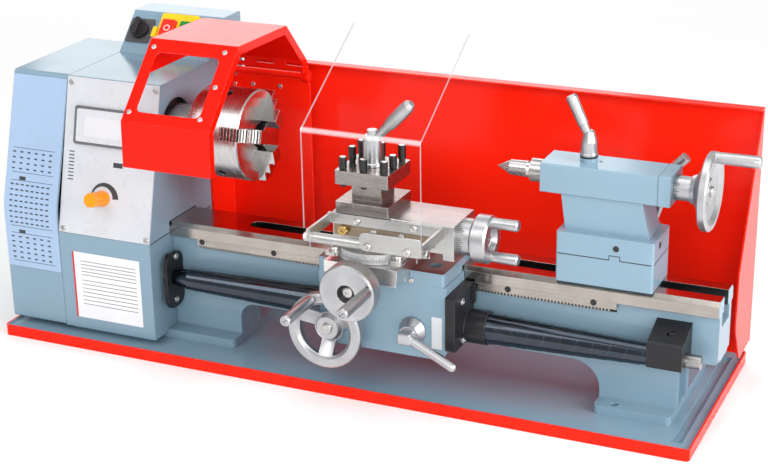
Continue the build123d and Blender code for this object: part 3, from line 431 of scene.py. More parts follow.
def printed(name, colour, rough=0.35):
    """Printed or plain sheet: even colour with faint mottling and a fine grain."""
    material, tree, shader = new_finish(name, Specular_IOR_Level=0.4)
    place = object_place(tree)
    base = mixed(tree, noise(tree, place, 40.0, 3.0), tinted(colour, 0.94), tinted(colour, 1.04))
    polish = span(tree, noise(tree, place, 90.0), 0.3, 0.7, rough - 0.06, rough + 0.08)
    feed(shader, Base_Color=base, Roughness=polish)
    bumped(tree, shader, noise(tree, place, 900.0), 0.00001)
    return material


screws("rack_screws", "frame", RACK_SCREWS, FRONT, RACK_HEAD, finish=black_oxide_and_shade, slot="dark_steel")
# Painted shade: a near-black strip on the face of the bed, behind the rack's teeth, darkens their gaps.
gap_shade = front_plate(rounded(*GAP_SHADE_SIZE, 0.0003, GAP_SHADE_AT), BED_FACE_Y, *PRINT_LIFT)
fitted("rack_gap_shade", gap_shade, printed("painted_gap_shade", (0.008, 0.008, 0.009), 0.6), "frame")

# Headstock: sheet-steel base and hood, with a deep cap over the change gears at the left end.
# All are sprayed blue-grey; thin printed plates are stuck to the cap and to the base. A dark seam shows
# between hood and base, and a painted strip covers the end wall behind the cap.
FACE_Y, HOOD_LOW_Z = -0.114, 0.142
COVER_BEND_Z, COVER_TOP, BEND_R = 0.166, (-0.066, 0.326), 0.090
CHART_LOW_Z, CHART_X = 0.088, (-0.4333, -0.3572)
DATA_PLATE, DATA_PLATE_AT = (0.095, 0.086), (-0.2915, 0.076)
SEAM_X, SEAM_Y, SEAM_WIDE, SEAM_LIFT = -0.228, (-0.112, 0.033), 0.0014, (-0.0003, 0.0002)
STRIP_X, STRIP_Y, STRIP_Z, STRIP_LIFT = -0.356, (0.0995, 0.1317), (0.0190, 0.3258), (-0.0010, -0.0001)
NORTH = (0, 1, 0)
dress(grey_enamel, "headstock_base", "headstock_cover", "gear_cover", "switch_box")


def bar_shell(edges):
    """Closed bar along four lines of points, which are its edges, with a quad over each end."""
    count = len(edges[0])
    last = 4 * (count - 1)
    caps = [[3, 2, 1, 0], [last, last + 1, last + 2, last + 3]]
    return outward(np.stack(edges, 1).reshape(-1, 3), grid_faces(count, 4, True) + caps)


def swept_strip(line, low, high, out):
    """Sheet along a line of (y, z) points, between two x places, lifted square off the line by out."""
    line = np.asarray(line, float)
    run = np.gradient(line, axis=0)
    lift = np.stack([-run[:, 1], run[:, 0]], 1) / np.linalg.norm(run, axis=1)[:, None]
    edges = []
    for rise, across in ((out[0], (low, high)), (out[1], (high, low))):
        edges += [np.column_stack([np.full(len(line), x), line + rise * lift]) for x in across]
    return bar_shell(edges)


def side_plate(outline, x, low, high):
    """Plate with an outline of (y, z) points, on a face that looks to the right."""
    return flat_plate(outline, (x, 0, 0), NORTH, UP, low, high)


lean = math.atan2(COVER_TOP[0] - FACE_Y, COVER_TOP[1] - COVER_BEND_Z)
tangent = BEND_R * math.tan(lean / 2)
turn = np.linspace(0, lean, 9)
bend_y = FACE_Y + BEND_R - BEND_R * np.cos(turn)
bend_z = COVER_BEND_Z - tangent + BEND_R * np.sin(turn)
climb = np.linspace(0.004, 0.1485, 10)
cover_line = np.concatenate([
    np.column_stack([np.full(6, FACE_Y), np.linspace(CHART_LOW_Z, COVER_BEND_Z - tangent - 0.002, 6)]),
    np.column_stack([bend_y, bend_z]),
    np.column_stack([bend_y[-1] + climb * math.sin(lean), bend_z[-1] + climb * math.cos(lean)]),
])
chart = swept_strip(cover_line, *CHART_X, (-0.0002, 0.0006))
pale_blue = printed("pale_blue_print", (0.35, 0.47, 0.655))
fitted("gear_chart_plate", chart, pale_blue, "frame", True)
plate = front_plate(rounded(*DATA_PLATE, 0.001, DATA_PLATE_AT), FACE_Y, -0.0002, 0.0005)
fitted("data_plate", plate, printed("white_print", (0.78, 0.79, 0.81)), "frame")
ink = printed("dark_ink", (0.045, 0.047, 0.055), 0.45)
seam = rounded(SEAM_Y[1] - SEAM_Y[0], SEAM_WIDE, 0.0003, (np.mean(SEAM_Y), HOOD_LOW_Z))
fitted("hood_seam", side_plate(seam, SEAM_X, *SEAM_LIFT), ink, "frame")
strip_size = (STRIP_Y[1] - STRIP_Y[0], STRIP_Z[1] - STRIP_Z[0])
strip = rounded(*strip_size, 0.0005, (np.mean(STRIP_Y), np.mean(STRIP_Z)))
fitted("hood_end_strip", side_plate(strip, STRIP_X, *STRIP_LIFT), grey_enamel, "frame")

# Prints on the headstock: blank tables of short bars on the gear cap, and plain lines on the lower plate.
# Each bar on the cap is a thin patch that lies along the cap's own profile.
CHART_TABLES, ROW_PITCH = ((0.012, 5, 6), (0.058, 8, 8), (0.125, 4, 6)), 0.0068
CHART_INSET, CHART_WIDE = 0.0095, 0.0525
BAR, TABLE_RULE, HEADING = (0.0042, 0.0017), (0.060, 0.0005), (0.009, 0.0045)
RULE_UNDER, RULE_OVER, HEADING_X, HEADING_CLIMB = 0.0045, 0.0018, 0.024, (0.0465, 0.1135)
DATA_LINE, DATA_LINE_X, STRIPE, STRIPE_AT = (0.078, 0.0007), -0.2885, (0.0024, 0.086), (-0.3377, 0.076)
DATA_LINE_Z = np.concatenate([np.arange(0.108, 0.09, -0.0045), np.arange(0.083, 0.05, -0.0052)])
cover_run = np.concatenate([[0], np.cumsum(np.linalg.norm(np.diff(cover_line, axis=0), axis=1))])


def chart_bar(x, climb, width, height):
    """Thin patch on the chart, at a distance up the cap's profile."""
    around = climb + np.array([-height / 2, height / 2])
    line = np.column_stack([np.interp(around, cover_run, cover_line[:, i]) for i in (0, 1)])
    return swept_strip(line, x - width / 2, x + width / 2, (0.0004, 0.0008))


bars = []
for low, rows, columns in CHART_TABLES:
    for row in range(rows):
        for column in range(columns):
            x = CHART_X[0] + CHART_INSET + column * CHART_WIDE / (columns - 1)
            bars.append(chart_bar(x, low + row * ROW_PITCH, *BAR))
    for edge in (low - RULE_UNDER, low + rows * ROW_PITCH - RULE_OVER):
        bars.append(chart_bar(np.mean(CHART_X), edge, *TABLE_RULE))
bars += [chart_bar(CHART_X[0] + HEADING_X, climb, *HEADING) for climb in HEADING_CLIMB]
fitted("gear_chart_bars", joined(bars), ink, "frame")
rules = [rounded(*DATA_LINE, 0.0002, (DATA_LINE_X, z)) for z in DATA_LINE_Z]
rules = [front_plate(rule, FACE_Y, 0.0003, 0.0006) for rule in rules]
fitted("data_plate_lines", joined(rules), ink, "frame")
stripe = front_plate(rounded(*STRIPE, 0.0004, STRIPE_AT), FACE_Y, 0.0003, 0.0007)
fitted("data_plate_stripe", stripe, printed("red_ink", (0.62, 0.02, 0.025)), "frame")

# Works inside the headstock: bare iron casting, black motor, milled pulleys and gears, a ribbed rubber belt.
# The finishes are plain shop ones: a rough casting skin, machined steel, and moulded rubber.
raw_casting = ground("raw_casting", (0.13, 0.125, 0.12), ALL_WAYS, (0.5, 0.72), 0.00008)
gear_steel = ground("gear_steel", (0.42, 0.41, 0.40), ALL_WAYS, (0.26, 0.42))
dress(raw_casting, "headstock_casting")
dress(enamel("motor_enamel", (0.03, 0.031, 0.034), rough=(0.35, 0.5)), "drive_motor")
dress(gear_steel, "motor_pulley", "spindle_pulley", "idler_gear", "rack_pinion", "spindle", "leadscrew")


def moulded(name, colour, rough=0.4, grain=0.00002):
    """Moulded plastic or rubber: mottled colour, a fine pebbled skin, and paler worn edges."""
    material, tree, shader = new_finish(name, Specular_IOR_Level=0.45)
    place = object_place(tree)
    base = mixed(tree, noise(tree, place, 60.0, 3.0), tinted(colour, 0.88), tinted(colour, 1.08))
    worn = maths(tree, "MULTIPLY", worked_edges(tree, 0.0006), 0.3)
    base = mixed(tree, worn, base, (*[0.6 * c + 0.2 for c in colour], 1.0))
    polish = span(tree, noise(tree, place, 130.0), 0.3, 0.7, rough - 0.07, rough + 0.07)
    feed(shader, Base_Color=base, Roughness=polish)
    bumped(tree, shader, noise(tree, place, 1400.0), grain, 0.0005)
    return material


dress(moulded("belt_rubber", (0.018, 0.018, 0.018), 0.7, 0.00006), "drive_belt")

# Control panel: white sheet over the sloping front, screwed down at its corners, with a framed speed display.
# A printed arc swells round the speed knob; the other marks are plain bars.
PANEL_AT, PANEL_RISE = np.array([0, FACE_Y, HOOD_LOW_Z]), np.array([0, 0.047, 0.186])
PANEL_SCREWS_X, PANEL_SCREWS_CLIMB, PANEL_HEAD = (-0.3495, -0.2325), (0.0052, 0.1825), (0.0036, 0.0016)
BEZEL, BEZEL_AT, BEZEL_LIFT = (0.0915, 0.0395), (-0.292, 0.1326), (0.0028, 0.0033)
GLASS, GLASS_AT, GLASS_LIFT = (0.0676, 0.024), (-0.292, 0.1318), (0.0031, 0.0036)
ARC_AT, ARC_R, ARC_ENDS, ARC_WIDTHS, ARC_STEPS = (-0.2955, 0.0477), 0.0168, (182, 3), (0.0011, 0.0083), 33
MARK, MARK_AT = (0.013, 0.006), (-0.278, 0.0895)
SHORT_BAR, SHORT_BAR_X, SHORT_BAR_CLIMB = (0.0075, 0.0013), -0.3435, np.arange(0.066, 0.1, 0.0042)
panel_up = PANEL_RISE / np.linalg.norm(PANEL_RISE)
panel_out = np.cross(EAST, panel_up)
panel_print = printed("panel_white", (0.585, 0.60, 0.635), 0.3)
dress(panel_print, "control_panel")


def on_slope(at, up, x, climb):
    """Point of a sloping face, from its x and its distance up the slope."""
    return np.asarray(at) + x * np.array(EAST) + climb * np.asarray(up)


def panel_shell(outline, low, high):
    """Plate or print on the sloping panel."""
    return flat_plate(outline, PANEL_AT, EAST, panel_up, low, high)


corners = [(x, climb) for x in PANEL_SCREWS_X for climb in PANEL_SCREWS_CLIMB]
panel_screws = [on_slope(PANEL_AT, panel_up, x, climb) for x, climb in corners]
screws("panel_screws", "frame", panel_screws, panel_out, PANEL_HEAD, "star")
dress(moulded("display_frame", (0.13, 0.128, 0.135), 0.35), "display_unit")
bezel = panel_shell(rounded(*BEZEL, 0.002, BEZEL_AT), *BEZEL_LIFT)
fitted("display_bezel", bezel, panel_print, "frame")
glass = panel_shell(rounded(*GLASS, 0.001, GLASS_AT), *GLASS_LIFT)
fitted("display_glass", glass, printed("display_glass", (0.66, 0.66, 0.685), 0.12), "frame")
sweep = np.linspace(*np.radians(ARC_ENDS), ARC_STEPS)
swell = np.linspace(*ARC_WIDTHS, ARC_STEPS)
outer = np.column_stack([(ARC_R + swell / 2) * np.cos(sweep), (ARC_R + swell / 2) * np.sin(sweep)])
inner = np.column_stack([(ARC_R - swell / 2) * np.cos(sweep), (ARC_R - swell / 2) * np.sin(sweep)])
arc = panel_shell(np.concatenate([outer, inner[::-1]]) + ARC_AT, *PRINT_LIFT)
fitted("speed_arc", arc, ink, "frame")
marks = [rounded(*MARK, 0.0004, MARK_AT)]
marks += [rounded(*SHORT_BAR, 0.0002, (SHORT_BAR_X, climb)) for climb in SHORT_BAR_CLIMB]
marks = [panel_shell(mark, *PRINT_LIFT) for mark in marks]
fitted("panel_marks", joined(marks), ink, "frame")
dress(moulded("amber_plastic", (0.93, 0.30, 0.004), 0.22), "speed_knob")

# Switch box: yellow plate with a red stop and a green start button, and a black selector on a dark square
# plate. The buttons carry the plain ring and bar for off and on.
SWITCH_AT, SWITCH_RISE = np.array([0, 0.047, 0.326]), np.array([0, 0.043, 0.045])
SELECTOR, STOP, START = (-0.337, 0.033), (-0.296, 0.036), (-0.271, 0.036)
STOP_TOP, START_TOP, RING_RADII, RING_STEPS = 0.0095, 0.008, (0.0042, 0.0032), 40
SELECTOR_PLATE, START_BAR = (0.034, 0.034), (0.0014, 0.0085)
switch_up = SWITCH_RISE / np.linalg.norm(SWITCH_RISE)
switch_out = np.cross(EAST, switch_up)
dress(moulded("yellow_plastic", (0.88, 0.56, 0.012), 0.3), "switch_plate")
dress(moulded("red_plastic", (0.86, 0.022, 0.010), 0.28), "stop_button")
dress(moulded("green_plastic", (0.006, 0.24, 0.025), 0.28), "start_button")
dress(moulded("black_plastic", (0.02, 0.018, 0.02), 0.35), "selector_knob")


def switch_shell(outline, low, high):
    """Plate or print on the sloping switch face."""
    return flat_plate(outline, SWITCH_AT, EAST, switch_up, low, high)


def ring_mark(centre, radii, low, high):
    """Thin ring on the switch face between two radii: four loops joined into a closed band."""
    turn = np.linspace(0, 2 * math.pi, RING_STEPS + 1)[:-1]
    ring = np.column_stack([np.cos(turn), np.sin(turn)])
    loops = [radius * ring + centre for radius in radii]
    loops = [SWITCH_AT + loop[:, :1] * EAST + loop[:, 1:] * switch_up for loop in loops]
    outer, inner = loops
    rises = ((outer, low), (outer, high), (inner, high), (inner, low))
    points = np.concatenate([loop + rise * switch_out for loop, rise in rises])
    c = np.arange(RING_STEPS)
    d = (c + 1) % RING_STEPS
    close = np.stack([3 * RING_STEPS + c, 3 * RING_STEPS + d, d, c], 1).tolist()
    return outward(points, grid_faces(4, RING_STEPS, True) + close)


dark_plate = moulded("dark_plate", (0.075, 0.072, 0.078))
plate = switch_shell(rounded(*SELECTOR_PLATE, 0.0025, SELECTOR), -0.0003, 0.0015)
fitted("selector_plate", plate, dark_plate, "frame")
white_ink = printed("white_ink", (0.8, 0.8, 0.8))
stop_mark = ring_mark(STOP, RING_RADII, STOP_TOP - 0.0003, STOP_TOP + 0.0002)
fitted("stop_mark", stop_mark, white_ink, "stop_button")
start_mark = switch_shell(rounded(*START_BAR, 0.0003, START), START_TOP - 0.0003, START_TOP + 0.0002)
fitted("start_mark", start_mark, white_ink, "start_button")

# Chuck: polished steel body with three stepped jaws, whose outer ends are cut with a row of teeth.
# Dark plates laid between the teeth are painted shade for the grooves.
# It was turned in a lathe, so fine rings run round its axis and draw each highlight out along the axis.
SPIN_Y, SPIN_Z, JAW_WIDTH, TOOTH_PITCH = -0.036, 0.2685, 0.016, 0.0041
JAW_STEPS = ((-0.1386, -0.1125, 0.057), (-0.1125, -0.105, 0.045), (-0.105, -0.097, 0.032))
RINGS = (500, 40, 40)
material, tree, shader = new_finish("turned_steel", Metallic=1.0, Anisotropic=0.7)
place = object_place(tree)
spoke = add(tree, "VectorMath", {0: place, 1: (0, SPIN_Y, SPIN_Z)}, operation="SUBTRACT").outputs[0]
around = add(tree, "VectorMath", {0: EAST, 1: spoke}, operation="CROSS_PRODUCT").outputs[0]
around = add(tree, "VectorTransform", {"Vector": around}, convert_from="OBJECT", convert_to="WORLD")
base, lines = ground_coat(tree, place, (0.66, 0.64, 0.635), RINGS)
polish = span(tree, lines, 0.3, 0.7, 0.2, 0.3)
feed(shader, Base_Color=base, Roughness=polish, Tangent=around.outputs["Vector"])
bumped(tree, shader, lines, 0.000003, 0.0006)
dress(material, "chuck_body")
chuck_steel = ground("chuck_steel", (0.60, 0.585, 0.575), RINGS, (0.14, 0.24), 0.000004)
dress(chuck_steel, "chuck_jaw_1", "chuck_jaw_2", "chuck_jaw_3")


def jaw_teeth(turn):
    """Ribs across the outer ends of one jaw's steps, and dark plates between them, painted shade for the
    grooves.
    """
    radial = np.array([0, math.cos(turn), math.sin(turn)])
    across = np.array([0, -math.sin(turn), math.cos(turn)])
    across *= np.sign(np.cross(EAST, across) @ radial)
    ribs, groove_shades = [], []
    for low, high, radius in JAW_STEPS:
        at = np.array([0, SPIN_Y, SPIN_Z]) + radius * radial
        # Painted shade: a dark plate under each step's teeth stands for the shade down in the grooves.
        dark = rounded(high - low - 0.0006, JAW_WIDTH - 0.001, 0.0003, ((low + high) / 2, 0))
        groove_shades.append(flat_plate(dark, at, EAST, across, *SEAM_LIFT))
        for x in np.arange(low + 0.0018, high - 0.001, TOOTH_PITCH):
            tooth = rounded(0.0020, JAW_WIDTH - 0.0004, 0.0003, (x, 0))
            ribs.append(flat_plate(tooth, at, EAST, across, -0.0004, 0.0012))
    return joined(ribs), joined(groove_shades)


for jaw in ("jaw_1", "jaw_2", "jaw_3"):
    low, high = (np.array(corner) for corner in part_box("chuck_" + jaw))
    middle = (low + high)[1:] / 2 - (SPIN_Y, SPIN_Z)
    # Each jaw carries its ribs, and dark plates of painted groove shade between them.
    ribs, groove_shades = jaw_teeth(math.atan2(middle[1], middle[0]))
    fitted(jaw + "_teeth", ribs, chuck_steel, jaw)
    fitted(jaw + "_groove_shade", groove_shades, black_oxide_and_shade, jaw)

# Chuck guard: red sheet hood on two ears, with a clear window that small cross-head screws hold in front.
# The window and the tool shield are the same clear plastic: nearly unseen on its faces, frosted on its cut
# edges. Like screws hold the red panel behind the chuck.
GUARD_AT, GUARD_RISE = np.array([0, -0.158, 0.309]), np.array([0, 0.076, 0.078])
WINDOW_SCREWS = (
    (-0.2184, 0.0976), (-0.1263, 0.0993), (-0.2196, 0.0125), (-0.1279, 0.0133), (-0.1232, 0.0548),
)
BACK_SCREWS = [(-0.217, 0.091, 0.288), (-0.191, 0.091, 0.290), (-0.153, 0.091, 0.291)]
SHEET_HEAD, GUARD_RED = (0.0031, 0.0014), (0.97, 0.009, 0.002)
guard_up = GUARD_RISE / np.linalg.norm(GUARD_RISE)
guard_out = np.cross(EAST, guard_up)
dress(enamel("guard_enamel", GUARD_RED, 0.17, edge=0.002), "chuck_guard")
window_screws = [on_slope(GUARD_AT, guard_up, x, climb) for x, climb in WINDOW_SCREWS]
screws("guard_screws", "chuck_guard", window_screws, guard_out, SHEET_HEAD, "star")
screws("back_panel_screws", "frame", BACK_SCREWS, FRONT, SHEET_HEAD, "star")


def clear_plastic(name, edges, bend=None):
    """Clear dusty sheet: edges, given as (normal, least cosine), are frosted grey, and a pale band at a bend
    is a painted highlight.
    """
    material, tree, shader = new_finish(name, Specular_IOR_Level=0.5, IOR=1.49)
    coordinates = add(tree, "TexCoord").outputs
    dust = noise(tree, coordinates["Object"], 45.0, 5.0)
    clear = span(tree, dust, 0.3, 0.75, 0.0006, 0.002)
    cut = 0.0
    for normal, least in edges:
        facing = {0: coordinates["Normal"], 1: normal}
        facing = add(tree, "VectorMath", facing, operation="DOT_PRODUCT").outputs["Value"]
        cut = maths(tree, "MAXIMUM", cut, maths(tree, "GREATER_THAN", facing, least))
    base = mixed(tree, cut, (0.93, 0.95, 0.95, 1), (0.40, 0.40, 0.42, 1))
    # Painted highlight: a pale, less clear band along the bend line.
    if bend is not None:
        spot = add(tree, "Mapping", {"Vector": coordinates["Object"], "Scale": (0, 1, 1)}).outputs["Vector"]
        off = add(tree, "VectorMath", {0: spot, 1: bend}, operation="DISTANCE").outputs["Value"]
        bend_highlight = span(tree, off, 0.0016, 0.0042, 0.62, 0.0)
        base = mixed(tree, bend_highlight, base, (0.88, 0.87, 0.88, 1))
        cut = maths(tree, "MAXIMUM", cut, bend_highlight)
    polish = span(tree, dust, 0.3, 0.7, 0.03, 0.12)
    feed(shader, Base_Color=base, Roughness=polish, Alpha=span(tree, cut, 0.0, 1.0, clear, 0.75))
    bumped(tree, shader, noise(tree, coordinates["Object"], 6.0), 0.0003)
    return material


sheet_sides = [((1, 0, 0), 0.5), ((-1, 0, 0), 0.5)]
window_ends = [(tuple(guard_up), 0.7), (tuple(-guard_up), 0.7)]
dress(clear_plastic("window_plastic", sheet_sides + window_ends), "guard_window")

# Leadscrew drive: black enamelled bearing flange at the headstock and bracket at the right end of the bed.
# The screw runs in two spiral covers, each a blued spring strip that telescopes as the carriage moves.
LEAD = np.array([0, -0.080, 0.091])
FLANGE_SCREWS, FLANGE_HEAD = [(-0.216, -0.0765, 0.1165), (-0.216, -0.0805, 0.0622)], (0.0042, 0.0022)
OILER_AT, OILER_AXIS = (0.397, -0.0795, 0.1205), (0, -0.31, 0.95)
OILER_PROFILE = ((-0.004, 0.0042), (0.0009, 0.0042), (0.0014, 0.0034), (0.0014, 0.0021), (-0.0006, 0.0018))
COVER_TURNS, COVER_BORE = 11, 0.0088
COVER_ENDS = {"left": (-0.216, -0.0004), "right": (0.375, 0.172)}
COVER_STRIPS = {"left": (-0.194, -0.0004, (0.0133, 0.0176)), "right": (0.375, 0.172, (0.0126, 0.0178))}
COVER_SLEEVES = {
    "left": (
        (-0.216, -0.194, (0.0095, 0.0130)),
        (-0.194, -0.175, (0.0130, 0.0130)),
        (-0.018, -0.0004, (0.0177, 0.0177)),
    ),
    "right": ((0.355, 0.375, (0.0123, 0.0123)), (0.172, 0.190, (0.0179, 0.0179))),
}
black_enamel = enamel("black_enamel", (0.013, 0.013, 0.015), 0.35, rough=(0.26, 0.4))
dress(black_enamel, "leadscrew_flange", "leadscrew_bracket", "apron_flange")
screws("flange_screws", "frame", FLANGE_SCREWS, EAST, FLANGE_HEAD)
fitted("bracket_oiler", turned(OILER_PROFILE, OILER_AT, OILER_AXIS), black_oxide_and_shade, "frame")


def spring_strip(start, end, radii, steps=48):
    """Flat strip wound round the leadscrew: each turn climbs by its width, and its radius grows evenly."""
    pitch = (end - start) / COVER_TURNS
    u = np.linspace(0, COVER_TURNS - 1, (COVER_TURNS - 1) * steps + 1)
    angle = 2 * math.pi * u
    radius = radii[0] + (radii[1] - radii[0]) * u / (COVER_TURNS - 1)
    edges = []
    for along, rise in ((-0.12, -0.0005), (-0.12, 0.0), (1.0, 0.0002), (1.0, -0.0003)):
        r = radius + rise
        edge = np.column_stack([start + pitch * (u + along), r * np.cos(angle), r * np.sin(angle)])
        edges.append(edge + LEAD)
    return bar_shell(edges)


def sleeve(low, high, radii):
    """Plain end turn of a cover: a ring round the leadscrew between two x places, with a radius at each."""
    long = high - low
    rows = [(0, COVER_BORE), (0, radii[0]), (long, radii[1]), (long, COVER_BORE)]
    return turned(rows, LEAD + (low, 0, 0), EAST, 64)


def blued_strip(name):
    """Blued spring steel: dark and slick with a film of oil; its edges are lighter, partly rubbed bright and
    partly painted highlight.
    """
    material, tree, shader = new_finish(name, Metallic=1.0, Coat_Weight=0.8, Coat_Roughness=0.07)
    place = object_place(tree)
    oil = noise(tree, place, 70.0, 4.0)
    base = mixed(tree, span(tree, oil, 0.3, 0.7), (0.022, 0.034, 0.052, 1), (0.030, 0.043, 0.064, 1))
    # Lighter strip edges: partly rubbed steel, partly a painted highlight.
    base = mixed(tree, worked_edges(tree, 0.0005), base, (0.14, 0.15, 0.17, 1))
    feed(shader, Base_Color=base, Roughness=span(tree, oil, 0.3, 0.7, 0.15, 0.2))
    bumped(tree, shader, noise(tree, place, 900.0), 0.000003)
    return material


strip_steel = blued_strip("blued_strip")
for name, (start, end) in COVER_ENDS.items():
    shell = joined([*(sleeve(*row) for row in COVER_SLEEVES[name]), spring_strip(*COVER_STRIPS[name])])
    cover = new_piece("spiral_cover_" + name, *shell, True)
    cover.data.materials.append(strip_steel)
    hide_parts("leadscrew_cover_" + name)
    start, end = (tuple(LEAD + (x, 0, 0)) for x in (start, end))
    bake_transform(cover)

# Carriage: painted iron saddle and apron, ground bright where the saddle's top carries the cross slide.
# A black flange on its right takes the spiral cover, with a felt way wiper above it.
SADDLE_TOP, GUIDE_Z, GUIDE_X, GUIDE_HALF = 0.1653, 0.1583, 0.0693, 0.0427
SADDLE_IRON, SADDLE_ROUGH = (0.27, 0.265, 0.26), 0.52
APRON_Y, WIPER_Y = -0.122, -0.0695
APRON_SCREWS = [(0.166, -0.103, 0.1285), (0.166, -0.100, 0.0808)]
SADDLE_SCREWS, SADDLE_HEAD = [(0.1055, APRON_Y, 0.1535), (0.1137, APRON_Y, 0.1535)], (0.003, 0.0022)
WIPER, WIPER_AT = (0.012, 0.022), (0.1632, 0.1252)
FEED_PLATE, FEED_PLATE_AT = (0.0125, 0.038), (0.1437, 0.0945)
SUMP_AT = (0.133, -0.0985, 0.1589)
SUMP_PROFILE = ((0.0, 0.0068), (0.0006, 0.0068), (0.0007, 0.006), (0.0005, 0.004))
material, tree, shader = new_finish("saddle_casting")
place = object_place(tree)
spot = add(tree, "SeparateXYZ", {0: place}).outputs
top = maths(tree, "GREATER_THAN", spot["Z"], SADDLE_TOP)
inside = maths(tree, "COMPARE", spot["X"], GUIDE_X, GUIDE_HALF)
above = maths(tree, "GREATER_THAN", spot["Z"], GUIDE_Z)
bare = maths(tree, "MAXIMUM", top, maths(tree, "MULTIPLY", inside, above))
steel, _ = ground_coat(tree, place, SADDLE_IRON, ALONG_Y)
coat, polish = enamel_coat(tree, shader, place, GREY)
polish = span(tree, bare, 0.0, 1.0, polish, SADDLE_ROUGH)
feed(shader, Base_Color=mixed(tree, bare, coat, steel), Roughness=polish, Metallic=bare)
dress(material, "saddle")
dress(grey_enamel, "apron")
screws("apron_flange_screws", "carriage", APRON_SCREWS, EAST, FLANGE_HEAD)
wiper = front_plate(rounded(*WIPER, 0.0015, WIPER_AT), WIPER_Y, -0.0012, 0.0022)
fitted("way_wiper", wiper, printed("felt_black", (0.016, 0.016, 0.017), 0.85), "carriage")
plate = front_plate(rounded(*FEED_PLATE, 0.0006, FEED_PLATE_AT), APRON_Y, -0.0002, 0.0004)
fitted("feed_plate", plate, printed("pale_print", (0.62, 0.64, 0.66)), "carriage")
screws("saddle_gib_screws", "carriage", SADDLE_SCREWS, FRONT, SADDLE_HEAD)
# A dark disc lies on the floor of the oil recess in the saddle's top.
dark_recess_floor = moulded("dark_recess_floor", (0.05, 0.042, 0.035), 0.3)
fitted("oil_sump", turned(SUMP_PROFILE, SUMP_AT, UP), dark_recess_floor, "carriage")

# Handwheels: polished aluminium castings with a socket bolt at the hub, and steel grips that spin on studs.
# Each grip ends in the slotted head of its stud; the dials behind the wheels are finely divided.
WHEELS = {
    "apron_wheel": ((0.017, -0.1401, 0.087), FRONT, (0.0064, 0.0032)),
    "cross_wheel": ((0.069, -0.1902, 0.159), FRONT, (0.0062, 0.0032)),
    "top_wheel": ((0.1976, -0.1105, 0.210), EAST, (0.0060, 0.0032)),
    "tail_wheel": ((0.4202, SPIN_Y, SPIN_Z), EAST, (0.0060, 0.0032)),
}
CUP_PROFILE = ((-0.0003, 0.0104), (0.0003, 0.0104))
GRIPS = {"apron_grip": (0.0025, -0.1506, 0.123), "cross_grip": (0.0955, -0.1995, 0.166)}
GRIP_PROFILE = (
    (0, 0.0032), (0, 0.0056), (0.0015, 0.0060), (0.004, 0.0062), (0.030, 0.0065), (0.058, 0.0066),
    (0.0605, 0.0065), (0.062, 0.0061), (0.063, 0.0052), (0.063, 0.0037), (0.0616, 0.0036),
    (0.0616, 0.0033), (0.0624, 0.0031),
)
GROOVE, GROOVE_RIGHT, GROOVE_UP = (0.0058, 0.0008), (0.8, 0, 0.6), (-0.6, 0, 0.8)
DIALS = {
    "cross_dial_ticks": ("cross_wheel", (0.069, -0.1608, 0.159), FRONT, 0.018, 0.0032),
    "top_dial_ticks": ("top_wheel", (0.1719, -0.1105, 0.210), EAST, 0.0205, 0.0034),
    "tail_dial_ticks": ("tail_wheel", (0.3834, SPIN_Y, SPIN_Z), EAST, 0.0133, 0.0034),
}
TICK_COUNT, TICK_HALF, LONG_TICK, LONG_EVERY = 50, 0.00035, 1.7, 5
alloy = ground("polished_alloy", (0.56, 0.56, 0.575), (60, 60, 60), (0.3, 0.4), 0.000006)
dress(alloy, "apron_handwheel", "cross_handwheel", "top_slide_handwheel", "tailstock_handwheel")
dress(alloy, "half_nut_lever", "toolpost_lever", "quill_lever", "tailstock_lock_lever")
for body, (hub, axis, head) in WHEELS.items():
    screws(body + "_bolt", body, [hub], axis, head)
cup = turned(CUP_PROFILE, WHEELS["cross_wheel"][0], FRONT, 48)
fitted("cross_wheel_cup", cup, black_oxide_and_shade, "cross_wheel")
for body, seat in GRIPS.items():
    grip = turned(GRIP_PROFILE, seat, FRONT, 48)
    grip = fitted(body + "_turned", grip, alloy, body, True)
    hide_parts(body)
    groove_at = np.array(seat) + (0, -GRIP_PROFILE[-1][0], 0)
    groove = flat_plate(rounded(*GROOVE, 0.0001), groove_at, GROOVE_RIGHT, GROOVE_UP, -0.0002, 0.0003)
    fitted(body + "_slot", groove, ink, body)


def dial_ticks(centre, axis, radius, length):
    """Engraved ticks round a dial, every fifth one longer, laid as hair-thin plates on its rim."""
    axis, first, second = square_axes(axis)
    shells = []
    for i in range(TICK_COUNT):
        a = 2 * math.pi * i / TICK_COUNT
        out = math.cos(a) * first + math.sin(a) * second
        tangent = -math.sin(a) * first + math.cos(a) * second
        tall = length * (1.0 if i % LONG_EVERY else LONG_TICK)
        mark = [(-TICK_HALF, 0), (TICK_HALF, 0), (TICK_HALF, tall), (-TICK_HALF, tall)]
        shells.append(flat_plate(mark, np.asarray(centre) + radius * out, tangent, axis, -0.0003, 0.00008))
    return joined(shells)


for name, (body, *dial) in DIALS.items():
    fitted(name, dial_ticks(*dial), ink, body)

